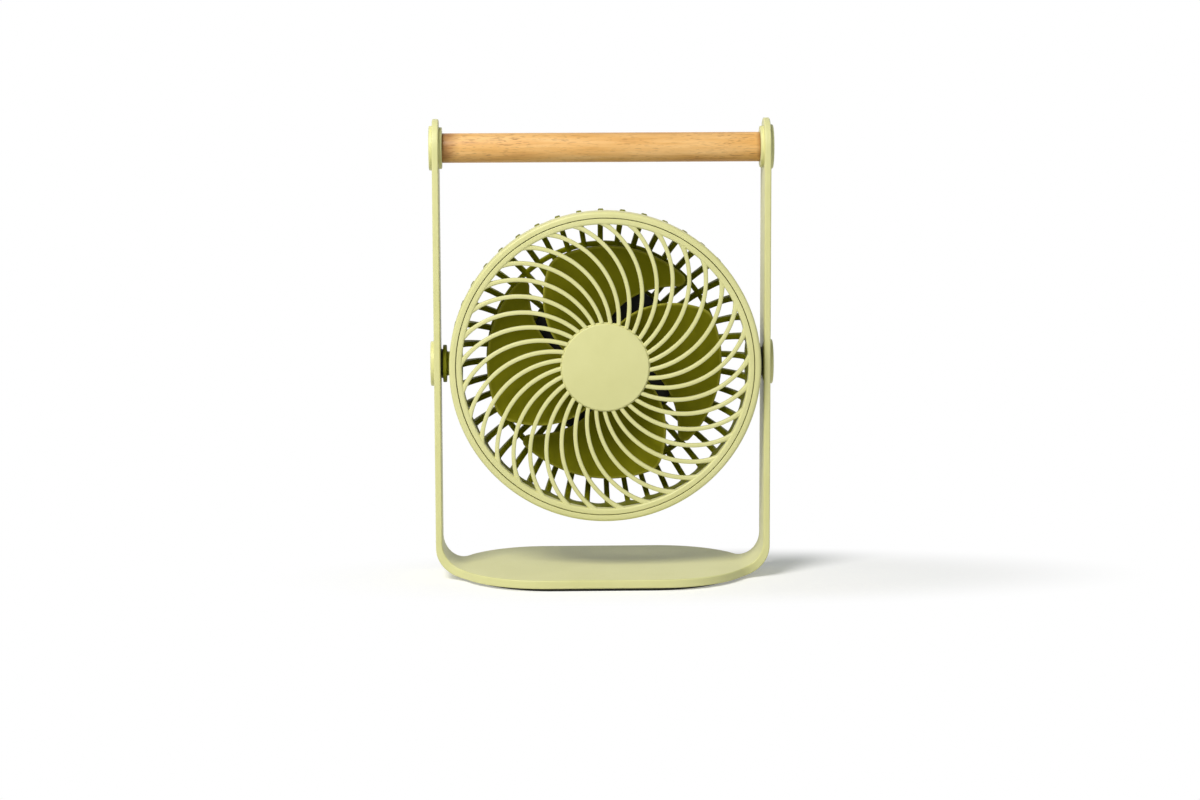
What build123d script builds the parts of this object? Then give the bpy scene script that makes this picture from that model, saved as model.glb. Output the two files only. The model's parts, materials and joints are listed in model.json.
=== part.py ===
from build123d import *
import os
from math import acos, cos, degrees, radians, sin, sqrt

# Portable fan in millimetres. Seen from the front, +X is right, +Y is back and +Z is up.
# The origin lies on the floor under the middle of the base.
# The head is drawn about the Y axis with the tilt axis through its origin, then lifted into the stand.

# Clearances
press_gap = 0.02          # radial, between pieces that are pressed or screwed together
running_gap = 0.05        # radial, between a shaft and the bush that it turns in
sliding_gap = 0.1         # between flat faces that turn against each other
free_gap = 0.3            # between a moving piece and its neighbours
seam_gap = 0.45           # visible seam between the bezel and the grille
hole_gap = 0.15           # radial, between a screw's shank and a plain hole

# Screws: shank diameter, head diameter, head height
large_screw = (4.0, 7.6, 1.2)
small_screw = (2.6, 4.8, 1.6)
board_screw = (1.6, 3.0, 1.0)
driver_slot_width = 0.8
driver_slot_share = 0.7   # share of the head that the driver slots cross
driver_slot_depth = 0.6
pilot_run = 1.0           # a pilot hole in wood goes this far past the screw's tip

# Front of the head
bezel_radius = 90.0
bezel_width = 3.6
bezel_edge_radius = 1.6
seam_edge_radius = 0.3    # on both sides of the seam between the bezel and the grille
skirt_wall = 2.08
skirt_depth = 5.0         # the bezel reaches this far over the rim band of the guard
seat_depth = 6.5          # from the front plane to the seat of the bezel and the grille
rim_width = 3.35
rim_setback = 0.3
rim_edge_radius = 1.2
rib_count = 33
rib_width = 2.4
rib_depth = 3.0
rib_setback = 1.3
rib_hub_lean = 12.9       # between a rib and the radius at the hub, degrees
rib_rim_lean = 56.83      # the same at the rim
rib_phase = 80.6          # direction of the first arc's centre, degrees
rib_cap_gap = 0.1         # between the ribs' ends and the centre cap
cap_radius = 25.3
cap_thickness = 1.8
cap_setback = 0.5
cap_rim_radius = 0.6
cap_peg_radius = 5.0
grille_hub_margin = 0.6   # the grille's hub reaches this far past the centre cap
grille_hub_thickness = 2.3

# Fan wheel
hub_front_gap = 5.9       # from the grille's hub to the wheel's hub
hub_depth = 22.0
hub_wall = 2.0
hub_edge_radius = 3.0
blade_count = 4
blade_tip_gap = 14.5      # from the blades' tips to the inside of the rim band
blade_thickness = 1.6
blade_depth = 18.5        # along the axis, from the leading to the trailing edge
blade_span = 79.0         # degrees that one blade covers
blade_start = -34.75      # direction of a leading edge at blade_mid_radius, degrees
blade_mid_radius = 51.0
blade_sweep = 1.0         # degrees by which an edge falls back for each millimetre of radius
blade_camber = 2.2
blade_overrun = 0.08      # share by which a blade's surface is drawn past its edges before trimming
blade_rows = 8            # spans of the net of points under a blade's surface
leading_corner_radius = 4.0
trailing_corner_radius = 12.0

# Motor
shaft_diameter = 3.0
shaft_seat = 5.0          # length of shaft held in the wheel's hub
bearing_diameter = 8.0
bearing_length = 5.0
bearing_land = 1.0        # width of the shoulder that each bearing is pressed against
tube_wall = 2.2
tube_front_gap = 1.0      # from the wheel's shaft boss to the bearing tube
stator_length = 10.0
stator_ring = 2.2
pole_count = 6
pole_length = 3.5
pole_width = 3.0
pole_shoe = 1.5
pole_cover = 0.75         # share of the stator's edge that the pole shoes cover
coil_build = 1.3
air_gap = 1.1
magnet_wall = 2.6
magnet_length = 14.0
yoke_wall = 1.2
clip_thickness = 0.7
clip_width = 1.6
pedestal_gap = 1.2        # from the wheel's hub to the motor's pedestal
pedestal_height = 12.3
pedestal_radius = 22.0
motor_plate_radius = 45.0
motor_plate_thickness = 3.0
motor_screw_count = 4
motor_screw_inset = 11.0  # from the motor plate's edge to its screws
motor_screw_phase = 45.0  # direction of the first screw, degrees

# Rear guard
band_wall = 4.9
band_depth = 15.0         # from the seat of the bezel to the end of the rim band
bar_count = 44
bar_width = 3.0
bar_rise = 2.1            # the bars stand this far out of the rim band
bar_depth = 6.5
bar_phase = 91.2          # direction of one bar, degrees
bar_start_gap = 1.0       # from the bezel's skirt to the raised bars
bar_lead = 1.6            # length of the slope at the front of a raised bar
guard_corner_radius = 31.0
guard_ring_radius = 67.5
guard_ring_width = 2.8
guard_ring_setback = 0.4  # the ring lies this far below the bars' faces, inside and outside
guard_disc_margin = 2.0   # the guard's disc reaches this far past the motor plate
pivot_boss_radius = 11.4
pivot_boss_gap = 0.6      # from the bezel's skirt to the bosses of the pivot
pivot_boss_rise = 0.3
pivot_boss_depth = 5.7

# Rear cover and what it holds
cover_radius = 40.0
cover_wall = 2.2
cover_edge_radius = 5.5
cover_room = 1.5          # from the cover's wall or posts to the board and the battery tray
cover_screw_count = 3
cover_screw_inset = 7.5   # from the cover's edge to its screws
cover_screw_phase = 90.0  # direction of the first screw, degrees
cover_post_radius = 3.4
battery_depth = 7.6
battery_edge_radius = 2.5
tray_floor = 0.8
tray_wall = 1.2
tray_depth = 4.0
tray_gap = 2.5            # from the board's upper edge to the battery tray
board_width = 30.0
board_height = 27.0
board_thickness = 1.6
board_post_height = 4.0
board_post_radius = 2.4
board_screw_inset = 3.2
socket_width = 9.0
socket_height = 3.3
socket_length = 10.0
socket_wall = 0.4
socket_corner_radius = 1.5
socket_recess = 1.1       # from the cover's outside to the socket's mouth
tongue_width = 6.2
tongue_thickness = 0.7
switch_size = 6.0
switch_height = 3.0
plunger_radius = 1.6
plunger_length = 1.0
button_inset = 8.0        # from the board's upper edge to the button's centre
button_radius = 6.0
button_edge_radius = 0.7
button_flange = 1.2
button_flange_thickness = 1.0
button_travel = 0.6
button_stand = 0.9        # the button stands this far out of the cover
lens_radius = 1.3
lens_gap = 2.5            # from the button's flange to the lens
lens_reach = 2.2          # the lens goes this far in past the cover's wall

# Tilt pivot
journal_radius = 4.2
bush_wall = 2.25
bush_flange_width = 2.0
bush_flange_thickness = 1.2
trunnion_flange_inset = 0.5    # the trunnion's flange is this much smaller than the guard's boss
trunnion_flange_thickness = 2.2
neck_radius = 7.0
neck_left = 3.4
neck_right = 0.4
spigot_radius = 4.6
spigot_length = 2.6
washer_inset = 0.7        # the spring washers are this much smaller than the bushes
washer_thickness = 0.5

# Stand
arm_width = 33.5
arm_thickness = 3.7
base_depth = 105.0
base_thickness = 5.0
base_end_inset = 11.8     # the oval base stops this far inside the arms' outer faces
bend_radius = 17.5
inner_bend_radius = 15.0
base_blend_gap = 1.0      # from the blend between oval and arm to the arm's inner face
stand_edge_radius = 0.8
pad_thickness = 1.6
pad_inset = 1.4
head_above_base = 28.7
hand_gap = 26.7           # between the head and the carrying bar
pivot_cap_inset = 3.75    # from an arm's edge to the cap of the pivot
pivot_cap_thickness = 2.2
handle_cap_inset = 3.9    # from an arm's edge to the cap of the carrying bar
handle_cap_thickness = 2.0
cap_edge_radius = 0.6

# Carrying bar
bar_diameter = 17.0
bar_chamfer = 0.4
handle_washer_margin = 3.5     # the washers reach this far past the bar
handle_washer_thickness = 1.9
handle_screw_grip = 22.0  # length of screw inside the bar

# Radii of the head
bezel_inner_radius = bezel_radius - bezel_width
rim_outer_radius = bezel_inner_radius - seam_gap
rim_inner_radius = rim_outer_radius - rim_width
grille_hub_radius = cap_radius + grille_hub_margin
band_radius = bezel_radius - skirt_wall - press_gap
band_inner_radius = band_radius - band_wall
blade_tip_radius = band_inner_radius - blade_tip_gap
bar_radius = band_radius + bar_rise
boss_face_radius = band_radius + pivot_boss_rise
boss_inner_radius = boss_face_radius - pivot_boss_depth
guard_disc_radius = motor_plate_radius + guard_disc_margin

# Arc of a rib, which meets the hub and the rim at the two leans
rib_start_radius = cap_radius + rib_cap_gap
rib_end_radius = rim_inner_radius + rim_width / 2
start_across = rib_start_radius * sin(radians(rib_hub_lean))
end_across = rib_end_radius * sin(radians(rib_rim_lean))
rib_arc_radius = (rib_end_radius ** 2 - rib_start_radius ** 2) / (2 * (end_across - start_across))
rib_arc_centre = sqrt(rib_arc_radius ** 2 + rib_start_radius ** 2 - 2 * rib_arc_radius * start_across)

# Radii of the motor, from the shaft outwards
tube_radius = bearing_diameter / 2 + tube_wall
stator_radius = tube_radius + stator_ring + pole_length + pole_shoe
magnet_inner_radius = stator_radius + air_gap
magnet_outer_radius = magnet_inner_radius + magnet_wall
yoke_outer_radius = magnet_outer_radius + press_gap + yoke_wall
hub_radius = yoke_outer_radius + press_gap + hub_wall

# Planes across the head, from the front to the back
front_y = -(seat_depth + skirt_depth + pivot_boss_gap + pivot_boss_radius)
rim_front_y = front_y + rim_setback
rib_front_y = front_y + rib_setback
rib_back_y = rib_front_y + rib_depth
cap_front_y = front_y + cap_setback
cap_back_y = cap_front_y + cap_thickness
grille_hub_back_y = cap_back_y + grille_hub_thickness
seat_y = front_y + seat_depth
bezel_back_y = seat_y + skirt_depth
bar_start_y = bezel_back_y + bar_start_gap
slot_y = seat_y + band_depth
hub_front_y = grille_hub_back_y + hub_front_gap
hub_back_y = hub_front_y + hub_depth
pedestal_y = hub_back_y + pedestal_gap
plate_front_y = pedestal_y + pedestal_height
plate_back_y = plate_front_y + motor_plate_thickness
guard_back_y = plate_front_y + bar_depth

# Planes of the motor
tube_front_y = hub_front_y + shaft_seat + tube_front_gap
front_bearing_back_y = tube_front_y + bearing_length
rear_bearing_y = plate_front_y - bearing_length
clip_y = plate_front_y + sliding_gap
shaft_end_y = clip_y + clip_thickness
stator_front_y = tube_front_y + tube_front_gap + coil_build
stator_back_y = stator_front_y + stator_length
stator_mid_y = (stator_front_y + stator_back_y) / 2

# Planes inside the rear cover, which is as deep as the taller of its two stacks
board_front_y = guard_back_y + board_post_height
board_back_y = board_front_y + board_thickness
switch_back_y = board_back_y + switch_height
button_stack_y = switch_back_y + plunger_length + free_gap + button_travel + button_flange_thickness
battery_front_y = guard_back_y + tray_floor
battery_back_y = battery_front_y + battery_depth
cover_inside_y = max(button_stack_y, battery_back_y) + free_gap
cover_back_y = cover_inside_y + cover_wall
button_front_y = cover_inside_y - free_gap - button_flange_thickness
plunger_back_y = button_front_y - button_travel - free_gap

# Front view of what the rear cover holds: the board below, the battery tray in the room above it
room_radius = cover_radius - cover_wall - cover_room
motor_screw_circle = motor_plate_radius - motor_screw_inset
cover_screw_circle = cover_radius - cover_screw_inset
board_low = -sqrt(room_radius ** 2 - (board_width / 2) ** 2)
board_top = board_low + board_height
button_up = board_top - button_inset
lens_across = button_radius + button_flange + lens_gap + lens_radius
tray_low = board_top + tray_gap
tray_top = cover_screw_circle - cover_post_radius - cover_room
tray_height = tray_top - tray_low
tray_width = 2 * sqrt(room_radius ** 2 - tray_top ** 2)
tray_middle = (tray_low + tray_top) / 2
battery_width = tray_width - 2 * (tray_wall + press_gap)
battery_height = tray_height - 2 * (tray_wall + press_gap)

# Radii of the tilt pivot
bush_radius = journal_radius + running_gap + bush_wall
bush_flange_radius = bush_radius + bush_flange_width
washer_radius = bush_radius - washer_inset
trunnion_flange_radius = pivot_boss_radius - trunnion_flange_inset

# Widths and heights of the stand
pivot_stack = bush_flange_thickness + sliding_gap + trunnion_flange_thickness
head_offset = (neck_left - neck_right) / 2
arm_inner = boss_face_radius + pivot_stack + (neck_left + neck_right) / 2
arm_outer = arm_inner + arm_thickness
base_top = pad_thickness + base_thickness
pivot_height = base_top + head_above_base + bezel_radius
bar_height = pivot_height + bezel_radius + hand_gap + bar_diameter / 2
oval_half = arm_outer - base_end_inset
oval_radius = base_depth / 2
blend_reach = arm_inner - base_blend_gap - (oval_half - oval_radius)
blend_square = blend_reach ** 2 - oval_radius ** 2 + (arm_width / 2) ** 2
base_blend_radius = blend_square / (2 * (oval_radius - arm_width / 2))
pivot_cap_radius = arm_width / 2 - pivot_cap_inset
handle_cap_radius = arm_width / 2 - handle_cap_inset
handle_washer_radius = bar_diameter / 2 + handle_washer_margin

# Places along the tilt axis, from the fan axis outwards
bush_end = arm_outer - free_gap - large_screw[2] - washer_thickness - sliding_gap
journal_end = bush_end + sliding_gap
screw_seat = journal_end + washer_thickness
flange_outer = arm_inner - bush_flange_thickness - sliding_gap
flange_inner = flange_outer - trunnion_flange_thickness

sides = {"left": -1, "right": 1}


def rod(radius, low, high):
    """Cylinder along Z from low to high."""
    return Pos(0, 0, low) * Cylinder(radius, high - low, align=(Align.CENTER, Align.CENTER, Align.MIN))


def disc(radius, front, back):
    """Cylinder about the fan axis between two planes across the head."""
    return Rot(90, 0, 0) * rod(radius, -back, -front)


def slab(sketch, front, back):
    """Front view outline made solid between two planes across the head."""
    return extrude(Plane.XZ.offset(-back) * sketch, amount=back - front)


def turned(shape, angle):
    """Shape turned about the fan axis, anticlockwise as seen from the front."""
    return Rot(0, -angle, 0) * shape


def ring_of(shape, count, phase=0.0):
    """Copies of a shape, evenly spaced about the fan axis."""
    return [turned(shape, phase + step * 360 / count) for step in range(count)]


def polar(radius, angle):
    """Point of the front view at a radius and an angle in degrees."""
    return (radius * cos(radians(angle)), radius * sin(radians(angle)))


def circle_of(radius, count, phase):
    """Points of the front view, evenly spaced about the fan axis."""
    return [polar(radius, phase + step * 360 / count) for step in range(count)]


def section(points):
    """Closed outline in the plane of radius and depth."""
    return make_face(Polyline(*points, close=True))


def spun(face):
    """Solid of revolution about the fan axis."""
    return revolve(face, Axis.Y)


def outward(sign, shape):
    """Shape drawn along +Z, laid along the tilt axis towards one side."""
    return Pos(0, 0, pivot_height) * Rot(0, sign * 90, 0) * shape


def at_bar(sign, shape):
    """Shape drawn along +Z, laid along the carrying bar towards one side."""
    return Pos(0, 0, bar_height - pivot_height) * outward(sign, shape)


def in_stand(shape):
    """Piece of the head, lifted to its place between the arms."""
    return Pos(head_offset, 0, pivot_height) * shape


def screw(sizes, length):
    """Screw along Z, its head's seat at 0, the head above and the shank below."""
    shank, head, height = sizes
    body = rod(shank / 2, -length, 0) + rod(head / 2, 0, height)
    reach = head * driver_slot_share
    depth = min(driver_slot_depth, height / 2)
    slot = Pos(0, 0, height - depth / 2) * Box(reach, driver_slot_width, depth)
    return body - slot - Rot(0, 0, 90) * slot


def rounded_disc(radius, low, high, edge):
    """Disc along Z whose upper rim is rounded."""
    body = rod(radius, low, high)
    return fillet(body.edges().group_by(Axis.Z)[-1], min(edge, (high - low) / 2))


# Stand


def open_frame(half_width, bottom, corner):
    """Front view of the space inside a U: two upright sides and two round corners."""
    top = bar_height + arm_width
    foot = bottom + corner
    path = Polyline((-half_width, foot), (-half_width, top), (half_width, top), (half_width, foot))
    right = RadiusArc(path @ 1, (half_width - corner, bottom), corner)
    floor = Line(right @ 1, (-half_width + corner, bottom))
    left = RadiusArc(floor @ 1, path @ 0, corner)
    return make_face([path, right, floor, left])


def stand_band():
    """Band bent into an oval base and two arms with round ends."""
    outer = open_frame(arm_outer, pad_thickness, bend_radius)
    inner = open_frame(arm_inner, base_top, inner_bend_radius)
    bent = extrude(Plane.XZ * (outer - inner), amount=base_depth / 2, both=True)
    plan = SlotOverall(2 * oval_half, base_depth) + Rectangle(2 * arm_outer, arm_width)
    inside = [v for v in plan.vertices() if abs(v.X) < arm_outer - free_gap]
    joins = [v for v in inside if abs(v.Y) < base_depth / 2 - free_gap]
    plan = fillet(joins, base_blend_radius)
    upright = Pos(0, bar_height / 2) * Rectangle(base_depth, bar_height)
    side = upright + Pos(0, bar_height) * Circle(arm_width / 2)
    band = bent & extrude(plan, amount=bar_height + arm_width)
    band = band & extrude(Plane.YZ * side, amount=arm_outer + arm_thickness, both=True)
    band = fillet(band.edges(), stand_edge_radius)
    shank, head, height = large_screw
    pivot_hole = rod(bush_radius + press_gap, arm_inner, arm_outer)
    bar_hole = rod(shank / 2 + hole_gap, arm_inner, arm_outer)
    bar_hole += rod(head / 2 + hole_gap, arm_outer - height, arm_outer)
    for sign in sides.values():
        band -= outward(sign, pivot_hole)
        band -= at_bar(sign, bar_hole)
    return band


def base_pad():
    """Rubber pad under the flat of the base."""
    length = 2 * (arm_outer - bend_radius - pad_inset)
    return extrude(SlotOverall(length, base_depth - 2 * pad_inset), amount=pad_thickness)


def handle_bar():
    """Wooden dowel between the two washers, with a pilot hole in each end."""
    half = arm_inner - handle_washer_thickness
    dowel = Rot(0, 90, 0) * Cylinder(bar_diameter / 2, 2 * half)
    dowel = chamfer(dowel.edges().filter_by(GeomType.CIRCLE), bar_chamfer)
    dowel = Pos(0, 0, bar_height) * dowel
    pilot = rod(large_screw[0] / 2 + press_gap, half - handle_screw_grip - pilot_run, half)
    for sign in sides.values():
        dowel -= at_bar(sign, pilot)
    return dowel


def handle_washer(sign):
    """Disc between the bar's end and the arm."""
    ring = rod(handle_washer_radius, arm_inner - handle_washer_thickness, arm_inner)
    hole = rod(large_screw[0] / 2 + hole_gap, arm_inner - handle_washer_thickness, arm_inner)
    return at_bar(sign, ring - hole)


def handle_cap(sign):
    """Round cap that hides the bar's screw."""
    cap = rounded_disc(handle_cap_radius, arm_outer, arm_outer + handle_cap_thickness, cap_edge_radius)
    return at_bar(sign, cap)


def handle_screws():
    """The two screws that hold the bar."""
    seat = arm_outer - large_screw[2]
    length = seat - (arm_inner - handle_washer_thickness) + handle_screw_grip
    return [at_bar(sign, Pos(0, 0, seat) * screw(large_screw, length)) for sign in sides.values()]


# Tilt pivot


def pivot_bush(sign):
    """Flanged bush in the arm that the journal turns in."""
    body = rod(bush_radius, arm_inner, bush_end)
    body += rod(bush_flange_radius, arm_inner - bush_flange_thickness, arm_inner)
    return outward(sign, body - rod(journal_radius + running_gap, flange_outer, bush_end))


def pivot_cap(sign):
    """Round cap that hides the pivot screw."""
    cap = rounded_disc(pivot_cap_radius, arm_outer, arm_outer + pivot_cap_thickness, cap_edge_radius)
    return outward(sign, cap)


def trunnion(sign):
    """Journal, flange and neck that carry one side of the head."""
    face = boss_face_radius + sign * head_offset
    body = rod(journal_radius, flange_outer, journal_end)
    body += rod(trunnion_flange_radius, flange_inner, flange_outer)
    body += rod(neck_radius, face, flange_inner)
    body += rod(spigot_radius, face - spigot_length, face)
    return outward(sign, body - rod(large_screw[0] / 2 + hole_gap, face - spigot_length, journal_end))


def spring_washers():
    """Washers under the heads of the pivot screws."""
    ring = rod(washer_radius, journal_end, screw_seat)
    ring -= rod(large_screw[0] / 2 + hole_gap, journal_end, screw_seat)
    return [outward(sign, ring) for sign in sides.values()]


def pivot_screws():
    """Screws through the trunnions into the bosses of the guard."""
    made = []
    for sign in sides.values():
        tip = boss_inner_radius + sign * head_offset
        made.append(outward(sign, Pos(0, 0, screw_seat) * screw(large_screw, screw_seat - tip)))
    return made


# Front of the head


def front_bezel():
    """Ring round the grille, with a skirt over the rim band."""
    face = section([
        (bezel_inner_radius, front_y),
        (bezel_radius, front_y),
        (bezel_radius, bezel_back_y),
        (band_radius + press_gap, bezel_back_y),
        (band_radius + press_gap, seat_y),
        (bezel_inner_radius, seat_y),
    ])
    face = fillet(face.vertices().group_by(Axis.Y)[0].sort_by(Axis.X)[-1], bezel_edge_radius)
    face = fillet(face.vertices().group_by(Axis.Y)[0].sort_by(Axis.X)[0], seam_edge_radius)
    return spun(face)


def rib_angle(radius, arc_radius):
    """Direction at which an arc about a rib's centre crosses a radius, degrees."""
    across = radius ** 2 + rib_arc_centre ** 2 - arc_radius ** 2
    return rib_phase - degrees(acos(across / (2 * radius * rib_arc_centre)))


def grille_rib():
    """Front view of one curved rib, from the hub to the rim."""
    radii = (rib_start_radius, (rib_start_radius + rib_end_radius) / 2, rib_end_radius)
    edges = []
    for arc_radius in (rib_arc_radius + rib_width / 2, rib_arc_radius - rib_width / 2):
        edges.append([polar(r, rib_angle(r, arc_radius)) for r in radii])
    low, high = (ThreePointArc(*points) for points in edges)
    return make_face([low, Line(low @ 1, high @ 1), high, Line(high @ 0, low @ 0)])


def front_grille():
    """Rim, hub and curved ribs in one moulding."""
    rib = slab(grille_rib(), rib_front_y, rib_back_y)
    rim = section([
        (rim_inner_radius, rim_front_y),
        (rim_outer_radius, rim_front_y),
        (rim_outer_radius, seat_y),
        (rim_inner_radius, seat_y),
    ])
    rim = fillet(rim.vertices().group_by(Axis.Y)[0].sort_by(Axis.X)[0], rim_edge_radius)
    rim = fillet(rim.vertices().group_by(Axis.Y)[0].sort_by(Axis.X)[-1], seam_edge_radius)
    hub = disc(grille_hub_radius, cap_back_y, grille_hub_back_y)
    hub -= disc(cap_peg_radius + press_gap, cap_back_y, grille_hub_back_y)
    return (spun(rim) + hub).fuse(*ring_of(rib, rib_count))


def centre_cap():
    """Plain disc that closes the front of the grille's hub."""
    face = disc(cap_radius, cap_front_y, cap_back_y)
    face = fillet(face.edges().group_by(Axis.Y)[0], cap_rim_radius)
    return face + disc(cap_peg_radius, cap_back_y, grille_hub_back_y)


# Fan wheel and motor


def blade_angle(radius, share):
    """Direction across a blade at a radius: share 0 at the leading edge, 1 at the trailing edge."""
    return blade_start + blade_sweep * (blade_mid_radius - radius) + share * blade_span


def blade_point(radius, share):
    """Point of a blade's middle surface."""
    across, up = polar(radius, blade_angle(radius, share))
    bulge = 4 * blade_camber * share * (1 - share)
    return Vector(across, hub_back_y - blade_thickness - share * (blade_depth - blade_thickness) + bulge, up)


def blade_plan():
    """Front view of one blade, its tip corners rounded."""
    root = hub_radius - hub_wall / 2
    radii = (root, (root + blade_tip_radius) / 2, blade_tip_radius)
    leading = ThreePointArc(*(polar(r, blade_angle(r, 0)) for r in radii))
    trailing = ThreePointArc(*(polar(r, blade_angle(r, 1)) for r in radii))
    shares = (0, 0.5, 1)
    tip = ThreePointArc(*(polar(blade_tip_radius, blade_angle(blade_tip_radius, s)) for s in shares))
    foot = ThreePointArc(*(polar(root, blade_angle(root, s)) for s in shares))
    plan = make_face([leading, tip, trailing, foot])
    for edge, corner in ((leading, leading_corner_radius), (trailing, trailing_corner_radius)):
        vertex = plan.vertices().sort_by_distance(edge @ 1)[0]
        plan = fillet(vertex, corner)
    return plan


def impeller():
    """Cupped hub with swept blades, one moulding."""
    hub = disc(hub_radius, hub_front_y, hub_back_y)
    hub = fillet(hub.edges().group_by(Axis.Y)[0], hub_edge_radius)
    root = hub_radius - hub_wall
    reach = blade_tip_radius + hub_wall - root
    across = 1 + 2 * blade_overrun
    steps = [step / blade_rows for step in range(blade_rows + 1)]
    rows = []
    for step in steps:
        rows.append([blade_point(root + reach * step, across * s - blade_overrun) for s in steps])
    surface = Face.make_surface_from_array_of_points(rows)
    sheet = Solid.thicken(surface, blade_thickness / 2) + Solid.thicken(surface, -blade_thickness / 2)
    blade = sheet & slab(blade_plan(), hub_front_y - hub_depth, hub_back_y + hub_depth)
    wheel = hub.fuse(*ring_of(blade, blade_count))
    wheel -= disc(yoke_outer_radius + press_gap, hub_front_y + hub_wall, hub_back_y + hub_depth)
    shaft_front_y = hub_front_y + hub_wall / 2
    wheel += disc(tube_radius, shaft_front_y, hub_front_y + shaft_seat)
    return wheel - disc(shaft_diameter / 2 + press_gap, shaft_front_y, hub_front_y + shaft_seat)


def motor_shaft():
    """Steel shaft from the wheel's hub through both bearings."""
    return disc(shaft_diameter / 2, hub_front_y + hub_wall / 2, shaft_end_y)


def sleeve_bearing(front):
    """Plain bearing that the shaft runs in."""
    bore = disc(shaft_diameter / 2 + running_gap, front, front + bearing_length)
    return disc(bearing_diameter / 2, front, front + bearing_length) - bore


def shaft_clip():
    """Clip on the shaft's end, behind the rear bearing."""
    ring = disc(shaft_diameter / 2 + clip_width, clip_y, shaft_end_y)
    return ring - disc(shaft_diameter / 2 + press_gap, clip_y, shaft_end_y)


def stator_core():
    """Laminated core with poles, on the bearing tube."""
    ring = Circle(tube_radius + stator_ring)
    pole = Pos(stator_radius / 2, 0) * Rectangle(stator_radius, pole_width)
    shoe_cut = Circle(stator_radius) - Circle(stator_radius - pole_shoe)
    half = 180 / pole_count * pole_cover
    reach = 2 * stator_radius
    wedge = make_face(Polyline((0, 0), polar(reach, -half), polar(reach, half), close=True))
    arm = pole & Circle(stator_radius)
    arm += shoe_cut & wedge
    core = ring
    for step in range(pole_count):
        core += Rot(0, 0, step * 360 / pole_count) * arm
    core -= Circle(tube_radius + press_gap)
    return slab(core, stator_front_y, stator_back_y)


def ring_between(inner, outer, front, back):
    """Plain ring about the fan axis."""
    return disc(outer, front, back) - disc(inner, front, back)


def stator_coils():
    """One wound coil on each pole."""
    low = tube_radius + stator_ring + press_gap
    high = stator_radius - pole_shoe - press_gap
    winding = Box(2 * high, stator_length + 2 * coil_build, pole_width + 2 * coil_build)
    winding = fillet(winding.edges().filter_by(Axis.X), coil_build / 2)
    winding -= Box(2 * high, stator_length + 2 * press_gap, pole_width + 2 * press_gap)
    room = ring_between(low, high, stator_front_y - coil_build, stator_back_y + coil_build)
    coil = Pos(high, stator_mid_y, 0) * winding & room
    return ring_of(coil, pole_count)


def rotor_magnet():
    """Ring magnet inside the yoke."""
    front = stator_mid_y - magnet_length / 2
    return ring_between(magnet_inner_radius, magnet_outer_radius, front, front + magnet_length)


def rotor_yoke():
    """Steel ring pressed into the wheel's hub."""
    inner = magnet_outer_radius + press_gap
    return ring_between(inner, yoke_outer_radius, hub_front_y + hub_wall, hub_back_y)


def motor_screw_places():
    """Front view places of the screws of the motor plate."""
    return circle_of(motor_screw_circle, motor_screw_count, motor_screw_phase)


def motor_plate():
    """Plate, pedestal and bearing tube that carry the motor."""
    plate = disc(motor_plate_radius, plate_front_y, plate_back_y)
    plate += disc(pedestal_radius, pedestal_y, plate_front_y)
    plate += disc(tube_radius, tube_front_y, pedestal_y)
    plate -= disc(bearing_diameter / 2 + press_gap, tube_front_y, front_bearing_back_y)
    plate -= disc(bearing_diameter / 2 - bearing_land, front_bearing_back_y, rear_bearing_y)
    plate -= disc(bearing_diameter / 2 + press_gap, rear_bearing_y, plate_back_y)
    shank, head, height = small_screw
    for across, up in motor_screw_places():
        hole = disc(shank / 2 + hole_gap, plate_front_y, plate_back_y)
        seat = disc(head / 2 + hole_gap, plate_front_y, plate_front_y + height)
        plate -= Pos(across, 0, up) * (hole + seat)
    return plate


def motor_screws():
    """Screws that hold the motor plate to the guard."""
    seat = plate_front_y + small_screw[2]
    fastener = Pos(0, seat, 0) * Rot(90, 0, 0) * screw(small_screw, guard_back_y - seat)
    return [Pos(across, 0, up) * fastener for across, up in motor_screw_places()]


# Rear guard


def bowl(radius, back, corner):
    """Half section of a round bowl: a straight side, one round corner and a flat back."""
    wall = Polyline((0, seat_y), (radius, seat_y), (radius, back - corner))
    bend = RadiusArc(wall @ 1, (radius - corner, back), -corner)
    floor = Polyline(bend @ 1, (0, back), (0, seat_y))
    return make_face([wall, bend, floor])


def bowl_wall(setback):
    """Half section of the guard's wall, thinned by a setback on both faces."""
    outer = bowl(bar_radius - setback, guard_back_y - setback, guard_corner_radius - setback)
    depth = bar_depth - setback
    return outer - bowl(bar_radius - depth, guard_back_y - depth, guard_corner_radius - depth)


def strip(inner, outer):
    """Half section of everything between two radii."""
    depth = guard_back_y - seat_y
    return Pos((inner + outer) / 2, seat_y + depth / 2) * Rectangle(outer - inner, depth)


def cover_screw_places():
    """Front view places of the rear cover's screws."""
    return circle_of(cover_screw_circle, cover_screw_count, cover_screw_phase)


def board_screw_places():
    """Front view places of the circuit board's screws and posts."""
    across = board_width / 2 - board_screw_inset
    return [(sign * across, board_top - board_screw_inset) for sign in sides.values()]


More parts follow.
